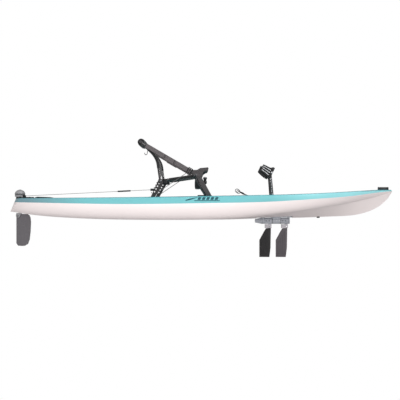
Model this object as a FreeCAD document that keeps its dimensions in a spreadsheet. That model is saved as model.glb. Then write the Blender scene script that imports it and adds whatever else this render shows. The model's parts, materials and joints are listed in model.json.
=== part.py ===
import FreeCAD, Part
import math
import os
import Sketcher

# Pedal boat: +X bow, +Y port, +Z up, origin at the centre of the flat bottom, millimetres.

Vec = FreeCAD.Vector
doc = FreeCAD.newDocument("PedalBoat")

SIZES = [
    ("hull_length", 3353, "overall length of the hull"),
    ("hull_beam", 914, "widest beam"),
    ("shell_wall", 5.5, "wall of both hull shells"),
    ("transom_low", -1665, "stern face at its foot, fore and aft"),
    ("transom_high", -1617, "stern face at the deck, fore and aft"),
    ("stern_round", 330, "rounding of the stern in plan"),
    ("foot_floor", 142, "height of the footwell floor"),
    ("cargo_floor", 158, "height of the stern recess floor"),
    ("well_start", 478, "aft end of the drive well"),
    ("well_end", 804, "forward end of the drive well"),
    ("well_half", 76, "half width of the drive well"),
    ("well_wall", 5, "wall of the drive well trunk"),
    ("scupper_bore", 16.5, "radius of a scupper bore"),
    ("scupper_wall", 3.5, "wall of a scupper tube"),
    ("post_x", -1597, "rudder post axis"),
    ("post_radius", 12, "rudder post radius"),
    ("running_gap", 0.05, "radial gap of a turning fit"),
    ("head_base", 201, "underside of the rudder head"),
    ("kick_x", -1614, "rudder kick pivot, fore and aft"),
    ("kick_z", 34, "rudder kick pivot, height"),
    ("rudder_depth", 266, "blade depth below the kick pivot"),
    ("rudder_thick", 16, "rudder blade thickness"),
    ("spine_z", -10, "axis of the fin drums"),
    ("spine_radius", 27, "radius of the drive spine"),
    ("drum_radius", 26.5, "radius of a fin drum"),
    ("rear_mast_x", 601, "rear fin mast axis"),
    ("front_mast_x", 745, "front fin mast axis"),
    ("drum_width", 65, "length of a fin drum"),
    ("root_top", -41.1, "top of a fin root"),
    ("root_bottom", -74, "bottom of a fin root"),
    ("fin_pivot_z", -62, "fin kick pivot height"),
    ("fin_depth", 329, "fin tip depth"),
    ("fin_chord", 91, "fin chord behind the mast"),
    ("fin_thick", 16, "fin thickness at the mast"),
    ("mast_radius", 6, "fin mast radius"),
    ("fin_mast_end", 240, "depth of the mast's end inside a fin"),
    ("crank_x", 626, "crank shaft axis, fore and aft"),
    ("crank_z", 95, "crank shaft axis, height"),
    ("shaft_radius", 8, "crank shaft radius"),
    ("axle_x", 600, "pedal axle, fore and aft"),
    ("axle_z", 405, "pedal axle, height"),
    ("axle_radius", 6, "pedal axle radius"),
    ("arm_inner", 41, "inner face of a crank arm"),
    ("arm_thick", 14, "crank arm thickness"),
    ("pedal_inner", 62, "inner face of a pedal"),
    ("pedal_width", 88, "pedal width"),
    ("pedal_length", 92, "pedal length"),
    ("toe_strap_rise", 84, "height of a toe strap above the pedal face"),
    ("pedal_thick", 18, "pedal thickness"),
    ("pedal_tilt", 65, "pedal tilt at rest"),
    ("pull_x", 419, "where the shift lines leave the deck"),
    ("pull_y", 45, "shift lines off the centre plane"),
    ("pull_tilt", 23, "rise of the shift lines"),
    ("pull_stroke", 20, "travel of a shift pull"),
    ("seat_hinge_x", -343, "seat hinge, fore and aft"),
    ("seat_hinge_z", 334, "seat hinge, height"),
    ("back_half", 235, "half width of the back frame"),
    ("pan_half", 208, "half width of the pan frame"),
    ("tube_radius", 11, "seat tube radius"),
    ("tube_wall", 2, "seat tube wall"),
    ("leg_inner", 248, "inner face of the seat legs"),
    ("leg_thick", 8, "seat leg thickness"),
    ("strap_y", 259, "inner face of the recline straps"),
    ("strap_width", 36, "recline strap width"),
    ("mesh_thick", 5, "seat mesh thickness"),
    ("roll_radius", 32, "radius of the back roll"),
    ("handle_x", -25, "steering handle pivot, fore and aft"),
    ("handle_y", 330, "steering handle pivot, to port"),
    ("handle_reach", 60, "steering handle lever reach"),
]

sheet = doc.addObject("Spreadsheet::Sheet", "Sizes")
for row, (alias, value, note) in enumerate(SIZES, start=1):
    sheet.set("A%d" % row, note)
    sheet.set("B%d" % row, str(value))
    sheet.setAlias("B%d" % row, alias)
doc.recompute()


def size(alias):
    return float(sheet.get(alias))


NODES = []


def keep(obj, label):
    """Name a finished piece and put it on the list that is written out."""
    obj.Label = label
    NODES.append((label, obj))
    return obj


# ---------------------------------------------------------------- document helpers

def bind(obj, **expressions):
    for prop, expression in expressions.items():
        obj.setExpression(prop.replace("__", "."), expression)


def place(obj, x="0", y="0", z="0"):
    obj.setExpression("Placement.Base.x", x)
    obj.setExpression("Placement.Base.y", y)
    obj.setExpression("Placement.Base.z", z)


def box(name, x0, x1, y0, y1, z0, z1):
    obj = doc.addObject("Part::Box", name)
    bind(obj, Length="(%s)-(%s)" % (x1, x0), Width="(%s)-(%s)" % (y1, y0), Height="(%s)-(%s)" % (z1, z0))
    place(obj, x0, y0, z0)
    return obj


def cylinder(name, axis, radius, length, x, y, z):
    """Cylinder from (x, y, z) along +axis."""
    obj = doc.addObject("Part::Cylinder", name)
    turn = {"X": FreeCAD.Rotation(Vec(0, 1, 0), 90),
            "Y": FreeCAD.Rotation(Vec(1, 0, 0), -90),
            "Z": FreeCAD.Rotation()}[axis]
    obj.Placement = FreeCAD.Placement(Vec(0, 0, 0), turn)
    bind(obj, Radius=radius, Height=length)
    place(obj, x, y, z)
    return obj


def fuse(name, parts):
    obj = doc.addObject("Part::MultiFuse", name)
    obj.Shapes = parts
    obj.Refine = True
    return obj


def cut(name, base, tools):
    obj = doc.addObject("Part::Cut", name)
    obj.Base = base
    obj.Tool = tools[0] if len(tools) == 1 else fuse(name + "_tools", tools)
    obj.Refine = True
    return obj


def mirror(source, label):
    """Port copy of a starboard piece."""
    obj = doc.addObject("Part::Mirroring", label)
    obj.Source = source
    obj.Normal = Vec(0, 1, 0)
    return keep(obj, label)


def plate(name, role, corners, thick, offset="0", symmetric=False):
    """PartDesign body: a closed outline on one of its own origin planes, padded along the normal."""
    body = doc.addObject("PartDesign::Body", name)
    outline = body.newObject("Sketcher::SketchObject", name + "_outline")
    base = [o for o in body.Origin.OriginFeatures if o.Role == role][0]
    outline.AttachmentSupport = [(base, "")]
    outline.MapMode = "FlatFace"
    outline.setExpression("AttachmentOffset.Base.z", offset)
    count = len(corners)
    start = [Vec(100 * math.cos(6.2832 * k / count), 100 * math.sin(6.2832 * k / count), 0)
             for k in range(count)]
    for k in range(count):
        outline.addGeometry(Part.LineSegment(start[k], start[(k + 1) % count]))
    for k in range(count):
        outline.addConstraint(Sketcher.Constraint("Coincident", k, 2, (k + 1) % count, 1))
    for k, (u, v) in enumerate(corners):
        across = outline.addConstraint(Sketcher.Constraint("DistanceX", -1, 1, k, 1, start[k].x))
        outline.setExpression("Constraints[%d]" % across, u)
        up = outline.addConstraint(Sketcher.Constraint("DistanceY", -1, 1, k, 1, start[k].y))
        outline.setExpression("Constraints[%d]" % up, v)
    pad = body.newObject("PartDesign::Pad", name + "_pad")
    pad.Profile = outline
    pad.setExpression("Length", thick)
    if symmetric:
        pad.SideType = "Symmetric"
    return body


def shaped(name, shape):
    """Code-built piece for a form that sketches do not reach."""
    obj = doc.addObject("Part::Feature", name)
    obj.Shape = shape
    return obj


def both_sides(source, label):
    """Starboard piece and its port copy, two solids under one name."""
    other = doc.addObject("Part::Mirroring", label + "_port")
    other.Source = source
    other.Normal = Vec(0, 1, 0)
    joined = doc.addObject("Part::Compound", label)
    joined.Links = [source, other]
    return keep(joined, label)


# ---------------------------------------------------------------- shape helpers

def rounded_box(x0, x1, y0, y1, z0, z1, radius):
    solid = Part.makeBox(x1 - x0, y1 - y0, z1 - z0, Vec(x0, y0, z0))
    upright = [e for e in solid.Edges if abs(e.tangentAt(e.FirstParameter).z) > 0.99]
    return solid.makeFillet(radius, upright)


def route(points, corner):
    """Straight runs joined by tangent arcs; corner is the largest arc radius."""
    edges = []
    last = points[0]
    for k in range(1, len(points) - 1):
        back = (points[k - 1] - points[k])
        ahead = (points[k + 1] - points[k])
        half = (math.pi - back.getAngle(ahead)) / 2
        reach = 0.45 * min(back.Length, ahead.Length)
        radius = min(corner, reach / math.tan(half))
        reach = radius * math.tan(half)
        back.normalize()
        ahead.normalize()
        enter = points[k] + back * reach
        leave = points[k] + ahead * reach
        middle = back + ahead
        middle.normalize()
        top = points[k] + middle * (radius / math.cos(half) - radius)
        edges.append(Part.makeLine(last, enter))
        edges.append(Part.Arc(enter, top, leave).toShape())
        last = leave
    edges.append(Part.makeLine(last, points[-1]))
    return Part.Wire(edges)


def tube(points, radius, corner, bore=0.0):
    path = route(points, corner)
    heading = points[1] - points[0]
    solid = Part.Wire(Part.makeCircle(radius, points[0], heading))
    solid = path.makePipeShell([solid], True, True)
    if bore:
        core = path.makePipeShell([Part.Wire(Part.makeCircle(bore, points[0], heading))], True, True)
        solid = solid.cut(core)
    return solid


def prism(corners, y0, y1):
    """Closed (x, z) outline drawn out from y0 to y1."""
    ring = [Vec(x, y0, z) for x, z in corners]
    face = Part.Face(Part.makePolygon(ring + ring[:1]))
    return face.extrude(Vec(0, y1 - y0, 0))


def ribbon(line, thick, y0, y1):
    """Sheet that follows an open (x, z) line, thick on its upper side."""
    upper = []
    for k, (x, z) in enumerate(line):
        x0, z0 = line[max(k - 1, 0)]
        x1, z1 = line[min(k + 1, len(line) - 1)]
        length = math.hypot(x1 - x0, z1 - z0)
        upper.append((x - (z1 - z0) / length * thick, z + (x1 - x0) / length * thick))
    return prism(line + upper[::-1], y0, y1)


# ---------------------------------------------------------------- hull form

HALF = size("hull_length") / 2
BULGE = 0.990  # the sides swell a little past the deck edge
BEAM = BULGE * size("hull_beam") / 2
WALL = size("shell_wall")

# x, keel z, chine y, chine z, side y, side z, deck y, deck z (x and y as shares of half the size)
STATIONS = [
    (-1.000, 70, 0.136, 72, 0.184, 120, 0.188, 182),
    (-0.978, 69, 0.210, 71, 0.284, 118, 0.293, 183),
    (-0.942, 63, 0.306, 66, 0.403, 112, 0.416, 185),
    (-0.883, 50, 0.416, 54, 0.538, 105, 0.556, 186),
    (-0.793, 34, 0.516, 39, 0.674, 98, 0.696, 187),
    (-0.656, 18, 0.617, 25, 0.814, 92, 0.838, 188),
    (-0.477, 5, 0.691, 14, 0.915, 85, 0.940, 190),
    (-0.268, 0, 0.731, 10, 0.966, 82, 0.984, 194),
    (-0.060, 0, 0.740, 10, 0.974, 84, 0.988, 200),
    (0.149, 2, 0.713, 20, 0.958, 96, 0.980, 206),
    (0.358, 14, 0.626, 52, 0.898, 122, 0.944, 212),
    (0.537, 18, 0.525, 90, 0.805, 150, 0.858, 222),
    (0.686, 28, 0.407, 126, 0.643, 182, 0.705, 235),
    (0.805, 41, 0.276, 162, 0.433, 205, 0.495, 247),
    (0.883, 75, 0.175, 190, 0.267, 222, 0.311, 255),
    (0.936, 121, 0.101, 212, 0.153, 236, 0.179, 259),
    (0.972, 174, 0.053, 232, 0.079, 246, 0.092, 259),
    (0.991, 216, 0.026, 243, 0.039, 251, 0.046, 258),
    (1.000, 243, 0.011, 249, 0.015, 253, 0.018, 257),
]
SEAM = [(-1.02, 155), (-0.72, 148), (-0.34, 140), (0.04, 148), (0.28, 156), (0.43, 168),
        (0.585, 185), (0.763, 208), (0.90, 236), (1.02, 252)]


def section(station, inset):
    x, keel, chine_y, chine_z, side_y, side_z, deck_y, deck_z = station
    x *= HALF
    chine = (chine_y * BEAM - 0.7 * inset, chine_z + inset)
    side = (side_y * BEAM - inset, side_z)
    deck = (deck_y * BEAM - inset, deck_z - inset)
    foot = Vec(x, 0, keel + inset)
    star = [Vec(x, -y, z) for y, z in (chine, side, deck)]
    port = [Vec(x, y, z) for y, z in (chine, side, deck)]
    return Part.Wire([
        Part.makeLine(foot, star[0]),
        Part.Arc(star[0], star[1], star[2]).toShape(),
        Part.makeLine(star[2], port[2]),
        Part.Arc(port[2], port[1], port[0]).toShape(),
        Part.makeLine(port[0], foot),
    ])


def deck_height(x):
    share = x / HALF
    for low, high in zip(STATIONS, STATIONS[1:]):
        if low[0] <= share <= high[0]:
            part = (share - low[0]) / (high[0] - low[0])
            return low[7] + part * (high[7] - low[7])
    return STATIONS[-1][7]


outer = Part.makeLoft([section(s, 0) for s in STATIONS], True, False)
inner = Part.makeLoft([section(s, WALL) for s in STATIONS[3:16]], True, False)

# The stern face leans forward and is rounded in plan.
stern_round = size("stern_round")
lean = (size("transom_high") - size("transom_low")) / 114
round_foot = size("transom_low") + stern_round - 170 * lean
round_edge = Part.Wire(Part.makeCircle(stern_round, Vec(round_foot, 0, -100)))
rounded_stern = Part.Face(round_edge).extrude(Vec(400 * lean, 0, 400))
ahead = prism([(round_foot, -100), (1800, -100), (1800, 300), (round_foot + 400 * lean, 300)], -700, 700)
outer = outer.common(rounded_stern.fuse(ahead))

foot_floor = size("foot_floor")
cargo_floor = size("cargo_floor")
RECESSES = [
    (140, 860, 96, 290, foot_floor, 50),
    (140, 860, -290, -96, foot_floor, 50),
    (-0.745 * HALF, -0.37 * HALF, -230, 230, cargo_floor, 60),
    (0.645 * HALF, 0.79 * HALF, -110, 110, 208, 40),
]
hollows = [rounded_box(x0, x1, y0, y1, z, 400, r) for x0, x1, y0, y1, z, r in RECESSES]
liners = [rounded_box(x0 - WALL, x1 + WALL, y0 - WALL, y1 + WALL, z - WALL, 300, r + WALL)
          for x0, x1, y0, y1, z, r in RECESSES]

well_start = size("well_start")
well_end = size("well_end")
well_half = size("well_half")
well_wall = size("well_wall")
well = Part.makeBox(well_end - well_start, 2 * well_half, 500, Vec(well_start, -well_half, -100))
well_inside = Part.makeBox(well_end - well_start - 2 * well_wall, 2 * (well_half - well_wall), 500,
                           Vec(well_start + well_wall, -well_half + well_wall, -100))

bore = size("scupper_bore")
SCUPPERS = [(300, 190), (300, -190), (-0.68 * HALF, 130), (-0.68 * HALF, -130)]
scupper_outer = [Part.makeCylinder(bore + size("scupper_wall"), 400, Vec(x, y, -100)) for x, y in SCUPPERS]
scupper_inner = [Part.makeCylinder(bore, 400, Vec(x, y, -100)) for x, y in SCUPPERS]

post_x = size("post_x")
post_radius = size("post_radius")
running_gap = size("running_gap")
sleeve = Part.makeCylinder(post_radius + 5, 400, Vec(post_x, 0, -100))
sleeve_bore = Part.makeCylinder(post_radius + running_gap, 400, Vec(post_x, 0, -100))

cavity = inner.cut(liners + [well] + scupper_outer)
shell = outer.cut(hollows + [well] + scupper_outer + [sleeve]).cut(cavity)
curve = Part.BSplineCurve()
curve.interpolate([Vec(x * HALF, -700, z) for x, z in SEAM])
seam_edge = curve.toShape()
seam_ends = [seam_edge.valueAt(seam_edge.FirstParameter), seam_edge.valueAt(seam_edge.LastParameter)]
roof = Part.makePolygon([seam_ends[1], Vec(seam_ends[1].x, -700, 700),
                         Vec(seam_ends[0].x, -700, 700), seam_ends[0]])
above = Part.Face(Part.Wire([seam_edge] + roof.Edges)).extrude(Vec(0, 1400, 0))
deck_region = above.fuse(liners)
deck_solid = shell.common(deck_region)
bottom_solid = shell.cut(deck_region)

deck_raw = shaped("deck_form", deck_solid)
bottom_raw = shaped("bottom_form", bottom_solid)
keep(shaped("drive_well", well.cut(well_inside).common(outer)), "drive_well")
keep(shaped("scupper_tubes", Part.makeCompound(
    [o.cut(i).common(outer).cut(Part.makeCompound(hollows)) for o, i in zip(scupper_outer, scupper_inner)])),
    "scupper_tubes")
stern_top = deck_height(post_x)
plate_seat = stern_top - 4
below_plate = Part.makeBox(200, 200, plate_seat + 200, Vec(post_x - 100, -100, -200))
keep(shaped("rudder_tube", sleeve.cut(sleeve_bore).common(outer).common(below_plate)), "rudder_tube")

# ---------------------------------------------------------------- deck fittings, sunk into the deck

sunk = []
stern_plate = cut("stern_plate", box("stern_plate_blank", "Sizes.post_x-21", "Sizes.post_x+112", "-50", "50",
                                     "%g" % plate_seat, "199"),
                  [cylinder("stern_plate_bore", "Z", "Sizes.post_radius+Sizes.running_gap", "60",
                            "Sizes.post_x", "0", "160")])
keep(stern_plate, "stern_plate")
sunk.append(stern_plate)

strip_top = deck_height(-1375)
strip = plate("stern_handle", "XZ_Plane",
              [("-1461", "%g" % (strip_top - 3)), ("-1290", "%g" % (strip_top - 3)),
               ("-1290", "%g" % (strip_top + 4)), ("-1330", "%g" % (strip_top + 11)),
               ("-1440", "%g" % (strip_top + 15)), ("-1461", "%g" % (strip_top + 11))],
              "30", symmetric=True)
keep(strip, "stern_handle")
sunk.append(strip)

bow_x = 0.9545 * HALF
bow_top = deck_height(bow_x)
bow_handle = cut("bow_handle", box("bow_handle_blank", "Sizes.hull_length*0.4637", "Sizes.hull_length*0.4908",
                                   "-13", "13", "%g" % (bow_top - 5), "%g" % (bow_top + 27)),
                 [box("bow_handle_gap", "Sizes.hull_length*0.4672", "Sizes.hull_length*0.4873", "-14", "14",
                      "%g" % (bow_top + 2), "%g" % (bow_top + 14))])
keep(bow_handle, "bow_handle")
sunk.append(bow_handle)

SOCKETS = [(-411, 30), (64, 34)]
sockets = []
for k, (x, half) in enumerate(SOCKETS):
    top = deck_height(x)
    for side, y in (("s", -272), ("p", 232)):
        sockets.append(box("socket_%s%d" % (side, k), "%g" % (x - half), "%g" % (x + half),
                           "%g" % y, "%g" % (y + 40), "%g" % (top - 4), "%g" % (top + 5)))
socket_join = shaped("seat_sockets", Part.Shape())
pull_top = deck_height(size("pull_x"))
ferrule_boxes = [box("ferrule_%d" % k, "Sizes.pull_x-14", "Sizes.pull_x+20", "%d*Sizes.pull_y-9" % side,
                     "%d*Sizes.pull_y+9" % side, "%g" % (pull_top - 4), "%g" % (pull_top + 4))
                 for k, side in enumerate((-1, 1))]

handle_base = cut("steering_base", cylinder("steering_base_blank", "Z", "26", "12", "Sizes.handle_x",
                                            "Sizes.handle_y", "%g" % (deck_height(size("handle_x")) - 4)),
                  [cylinder("steering_base_bore", "Z", "8+Sizes.running_gap", "60", "Sizes.handle_x",
                            "Sizes.handle_y", "170")])
keep(handle_base, "steering_base")
sunk.append(handle_base)

drain_x = 0.613 * HALF
drain_plug = cylinder("drain_plug", "Z", "13", "12", "Sizes.hull_length*0.3065", "0", "15")
keep(drain_plug, "drain_plug")

# ---------------------------------------------------------------- rudder

post = cylinder("rudder_post", "Z", "Sizes.post_radius", "Sizes.head_base-57", "Sizes.post_x", "0", "57")

HEAD = [(0, 0), (40, 0), (44, 4), (44, 12), (41, 14), (41, 19), (44, 21), (44, 28), (40, 41), (30, 53),
        (16, 60), (0, 61)]
head_base = size("head_base")
profile = [Vec(post_x + r, 0, head_base + z) for r, z in HEAD]
head = Part.Face(Part.makePolygon(profile + profile[:1])).revolve(Vec(post_x, 0, 0), Vec(0, 0, 1), 360)
keep(shaped("rudder_head", head), "rudder_head")

yoke_top = plate("yoke_top", "XZ_Plane",
                 [("Sizes.kick_x-14", "50"), ("Sizes.kick_x+30", "50"), ("Sizes.kick_x+30", "58"),
                  ("Sizes.kick_x-10", "58")], "30", symmetric=True)
cheeks = []
for side, offset in (("s", "9.3"), ("p", "-15")):
    cheeks.append(plate("yoke_cheek_" + side, "XZ_Plane",
                        [("Sizes.kick_x-14", "Sizes.kick_z-10"), ("Sizes.kick_x-6", "Sizes.kick_z-15"),
                         ("Sizes.kick_x+14", "Sizes.kick_z-15"), ("Sizes.kick_x+30", "51"),
                         ("Sizes.kick_x-14", "51")], "5.7", offset=offset))
yoke = cut("rudder_stock", fuse("yoke_blank", [yoke_top, post] + cheeks),
           [cylinder("yoke_bore", "Y", "4+Sizes.running_gap", "60", "Sizes.kick_x", "-30", "Sizes.kick_z")])
keep(yoke, "rudder_stock")
keep(cylinder("rudder_pin", "Y", "4", "36", "Sizes.kick_x", "-18", "Sizes.kick_z"), "rudder_pin")

BLADE = [(-14, 0), (-10, 10), (0, 14), (26, 13), (34, 16), (84, 15), (101, 2), (110, -20), (114, -55),
         (110, -140), (101, -210), (87, -248)]
corners = [("Sizes.kick_x+%g" % x, "Sizes.kick_z+%g" % z) for x, z in BLADE]
corners += [("Sizes.kick_x+60", "Sizes.kick_z-Sizes.rudder_depth+2"),
            ("Sizes.kick_x+40", "Sizes.kick_z-Sizes.rudder_depth"),
            ("Sizes.kick_x+2", "Sizes.kick_z-Sizes.rudder_depth+3"),
            ("Sizes.kick_x-14", "Sizes.kick_z-Sizes.rudder_depth+24")]
blade_flat = plate("rudder_flat", "XZ_Plane", corners, "Sizes.rudder_thick", symmetric=True)
foil = plate("rudder_foil", "XY_Plane",
             [("Sizes.kick_x-16", "-3"), ("Sizes.kick_x-14", "-Sizes.rudder_thick/2+3"),
              ("Sizes.kick_x+10", "-Sizes.rudder_thick/2"), ("Sizes.kick_x+70", "-Sizes.rudder_thick/2"),
              ("Sizes.kick_x+108", "-4"), ("Sizes.kick_x+116", "-1"), ("Sizes.kick_x+116", "1"),
              ("Sizes.kick_x+108", "4"), ("Sizes.kick_x+70", "Sizes.rudder_thick/2"),
              ("Sizes.kick_x+10", "Sizes.rudder_thick/2"), ("Sizes.kick_x-14", "Sizes.rudder_thick/2-3"),
              ("Sizes.kick_x-16", "3")], "900", symmetric=True)
blade = doc.addObject("Part::Common", "rudder_common")
blade.Base = blade_flat
blade.Tool = foil
keep(cut("rudder_blade", blade, [cylinder("rudder_blade_bore", "Y", "4+Sizes.running_gap", "60",
                                          "Sizes.kick_x", "-30", "Sizes.kick_z")]), "rudder_blade")

# ---------------------------------------------------------------- pedal drive

REAR = "Sizes.rear_mast_x"
FRONT = "Sizes.front_mast_x"
AFT_EDGE = "-Sizes.drum_width+18"


def barrel(name, x0, x1):
    return cylinder(name, "X", "Sizes.spine_radius", "(%s)-(%s)" % (x1, x0), x0, "0", "Sizes.spine_z")


tail = doc.addObject("Part::Cone", "spine_tail")
tail.Placement = FreeCAD.Placement(Vec(0, 0, 0), FreeCAD.Rotation(Vec(0, 1, 0), 90))
bind(tail, Radius1="Sizes.spine_radius-12", Radius2="Sizes.spine_radius", Height="58")
place(tail, "Sizes.rear_mast_x-129", "0", "Sizes.spine_z")
SEGMENTS = [("aft", REAR + "-71", REAR + AFT_EDGE + "-2"),
            ("mid", REAR + "+20", FRONT + AFT_EDGE + "-2"),
            ("nose", FRONT + "+20", FRONT + "+30")]
barrels = [barrel("spine_" + name, x0, x1) for name, x0, x1 in SEGMENTS]
webs = [box("web_" + name, x0, x1, "-20", "20", "Sizes.spine_z", "20") for name, x0, x1 in SEGMENTS]
beam = box("spine_beam", "Sizes.well_start+10", "Sizes.well_end-10", "-22", "22", "19", "62")
spine_tools = [cylinder("spine_bore", "X", "5+Sizes.running_gap", FRONT + "+25-" + REAR + "+75",
                        REAR + "-75", "0", "Sizes.spine_z")]
for name, x in (("aft", "Sizes.well_start+27"), ("fore", "Sizes.well_end-26")):
    spine_tools.append(cylinder("pin_bore_" + name, "Y", "6+Sizes.running_gap", "80", x, "-40", "48"))
keep(cut("drive_spine", fuse("spine_blank", [tail, beam] + barrels + webs), spine_tools), "drive_spine")
keep(cylinder("drum_shaft", "X", "5", FRONT + "+24-" + REAR + "+74", REAR + "-74", "0", "Sizes.spine_z"),
     "drum_shaft")
keep(cut("drive_housing", box("housing_blank", "Sizes.crank_x-45", "Sizes.crank_x+45", "-34", "34", "62",
                              "Sizes.crank_z+33"),
         [cylinder("housing_bore", "Y", "Sizes.shaft_radius+Sizes.running_gap", "100", "Sizes.crank_x", "-50",
                   "Sizes.crank_z")]), "drive_housing")
keep(cylinder("crank_shaft", "Y", "Sizes.shaft_radius", "122", "Sizes.crank_x", "-61", "Sizes.crank_z"),
     "crank_shaft")
locks = [cylinder("lock_" + name, "Y", "6", "2*(Sizes.well_half-Sizes.well_wall)", x,
                  "-Sizes.well_half+Sizes.well_wall", "48")
         for name, x in (("aft", "Sizes.well_start+27"), ("fore", "Sizes.well_end-26"))]
lock_pair = shaped("drive_pins", Part.Shape())


def build_fin(side, mast):
    drum = fuse(side + "_drum_blank", [
        cylinder(side + "_drum_body", "X", "Sizes.drum_radius", "Sizes.drum_width",
                 mast + AFT_EDGE, "0", "Sizes.spine_z"),
        cylinder(side + "_drum_neck", "Z", "12", "20", mast, "0", "Sizes.root_top+0.1")])
    keep(cut(side + "_fin_drum", drum, [
        cylinder(side + "_drum_bore", "X", "5+Sizes.running_gap", "Sizes.drum_width+10",
                 mast + AFT_EDGE + "-5", "0", "Sizes.spine_z")]), side + "_fin_drum")
    keep(cut(side + "_fin_root", box(side + "_root_blank", mast + "-42", mast + "+15", "-15", "15",
                                     "Sizes.root_bottom", "Sizes.root_top"), [
        box(side + "_root_slot", mast + "-50", mast + "+20", "-9", "9", "Sizes.root_bottom-5",
            "Sizes.fin_pivot_z+12.5"),
        cylinder(side + "_root_bore", "Y", "4+Sizes.running_gap", "60", mast, "-30",
                 "Sizes.fin_pivot_z")]), side + "_fin_root")
    keep(cylinder(side + "_fin_pin", "Y", "4", "32", mast, "-16", "Sizes.fin_pivot_z"), side + "_fin_pin")
    head = cylinder(side + "_mast_head", "Y", "11", "17", mast, "-8.5", "Sizes.fin_pivot_z")
    stem = cylinder(side + "_mast_stem", "Z", "Sizes.mast_radius", "Sizes.fin_mast_end+Sizes.fin_pivot_z-6",
                    mast, "0", "-Sizes.fin_mast_end")
    keep(cut(side + "_fin_mast", fuse(side + "_mast_blank", [head, stem]), [
        cylinder(side + "_mast_bore", "Y", "4+Sizes.running_gap", "60", mast, "-30",
                 "Sizes.fin_pivot_z")]), side + "_fin_mast")
    flat = plate(side + "_fin_flat", "XZ_Plane",
                 [(mast + "+11", "-72"), (mast + "+1.5+Sizes.mast_radius", "-Sizes.fin_mast_end-4"),
                  (mast + "-3", "-Sizes.fin_depth"),
                  (mast + "-Sizes.fin_chord", "-Sizes.fin_depth"), (mast + "-Sizes.fin_chord", "-180"),
                  (mast + "-50", "-105"), (mast + "-33", "-77")], "Sizes.fin_thick", symmetric=True)
    foil = plate(side + "_fin_foil", "XY_Plane",
                 [(mast + "+12", "-3"), (mast + "+4", "-Sizes.fin_thick/2"),
                  (mast + "-8", "-Sizes.fin_thick/2"), (mast + "-Sizes.fin_chord-1", "-1.5"),
                  (mast + "-Sizes.fin_chord-1", "1.5"), (mast + "-8", "Sizes.fin_thick/2"),
                  (mast + "+4", "Sizes.fin_thick/2"), (mast + "+12", "3")], "900", symmetric=True)
    both = doc.addObject("Part::Common", side + "_fin_common")
    both.Base = flat
    both.Tool = foil
    keep(cut(side + "_fin_blade", both, [
        cylinder(side + "_fin_core", "Z", "Sizes.mast_radius", "Sizes.fin_mast_end", mast, "0",
                 "-Sizes.fin_mast_end"),
        cylinder(side + "_fin_relief", "Y", "12", "60", mast, "-30", "Sizes.fin_pivot_z")]),
        side + "_fin_blade")


build_fin("rear", REAR)
build_fin("front", FRONT)

arm = plate("crank_flat", "XZ_Plane",
            [("Sizes.crank_x-14", "Sizes.crank_z"), ("Sizes.crank_x+14", "Sizes.crank_z"),
             ("Sizes.axle_x+11", "Sizes.axle_z"), ("Sizes.axle_x-11", "Sizes.axle_z")],
            "Sizes.arm_thick", offset="Sizes.arm_inner")
hub = cylinder("crank_hub", "Y", "20", "20", "Sizes.crank_x", "-Sizes.arm_inner-17", "Sizes.crank_z")
boss = cylinder("crank_boss", "Y", "14", "17", "Sizes.axle_x", "-Sizes.arm_inner-17", "Sizes.axle_z")
axle = cylinder("crank_axle", "Y", "Sizes.axle_radius",
                "Sizes.pedal_inner+Sizes.pedal_width+4-Sizes.arm_inner", "Sizes.axle_x",
                "-Sizes.pedal_inner-Sizes.pedal_width-4", "Sizes.axle_z")
crank = cut("right_crank_arm", fuse("crank_blank", [arm, hub, boss, axle]), [
    cylinder("crank_bore", "Y", "Sizes.shaft_radius+Sizes.running_gap", "60", "Sizes.crank_x",
             "-Sizes.arm_inner-30", "Sizes.crank_z")])
keep(crank, "right_crank_arm")

pedal_turn = FreeCAD.Placement(Vec(size("axle_x"), 0, size("axle_z")),
                               FreeCAD.Rotation(Vec(0, 1, 0), -size("pedal_tilt")))
near = -size("pedal_inner")
far = near - size("pedal_width")
low = size("pedal_thick") / 2
half_length = size("pedal_length") / 2
pedal = rounded_box(-half_length, half_length + 4, far, near, -low, low, 10)
for y in (near - 4, far):
    pedal = pedal.fuse(Part.makeBox(2 * half_length - 20, 4, 26, Vec(10 - half_length, y, low)))
for x in (-half_length + 2, half_length - 6):
    pedal = pedal.fuse(Part.makeBox(6, size("pedal_width") - 20, 6, Vec(x, far + 10, low)))
pedal = pedal.cut(Part.makeCylinder(size("axle_radius") + running_gap, 300, Vec(0, far - 50, 0), Vec(0, 1, 0)))
for y in (near - 30, far + 14):
    pedal = pedal.cut(Part.makeBox(18, 16, 40, Vec(12, y, -low - 10)))
    pedal = pedal.cut(Part.makeBox(18, 16, 40, Vec(-30, y, -low - 10)))
pedal.Placement = pedal_turn
right_pedal = keep(shaped("right_pedal", pedal.removeSplitter()), "right_pedal")


def strap_arch(grow):
    y0 = near + 2.5 + grow
    y1 = far - 2.5 - grow
    back = -half_length - 4
    top = low + size("toe_strap_rise")
    crown = Vec(back, (y0 + y1) / 2, top + grow)
    rise = top - size("pedal_width") / 2 + 6
    return Part.Wire([
        Part.makeLine(Vec(back, y1, low + 6), Vec(back, y1, rise)),
        Part.Arc(Vec(back, y1, rise), crown, Vec(back, y0, rise)).toShape(),
        Part.makeLine(Vec(back, y0, rise), Vec(back, y0, low + 6)),
    ])


outside = strap_arch(0)
inside = strap_arch(-2.4)
ends = [Part.makeLine(outside.Vertexes[k].Point, inside.Vertexes[k].Point) for k in (0, -1)]
arch = Part.Face(Part.Wire(Part.__sortEdges__(outside.Edges + inside.Edges + ends)))
arch = arch.extrude(Vec(2 * half_length + 8, 0, 0))
strap_top = low + size("toe_strap_rise") + 10
arch = arch.common(prism([(-half_length, low), (-18, strap_top), (half_length - 6, strap_top),
                          (half_length - 14, low)], far - 10, near + 10))
arch.Placement = pedal_turn
right_strap = keep(shaped("right_pedal_strap", arch), "right_pedal_strap")

# ---------------------------------------------------------------- shift pulls

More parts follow.
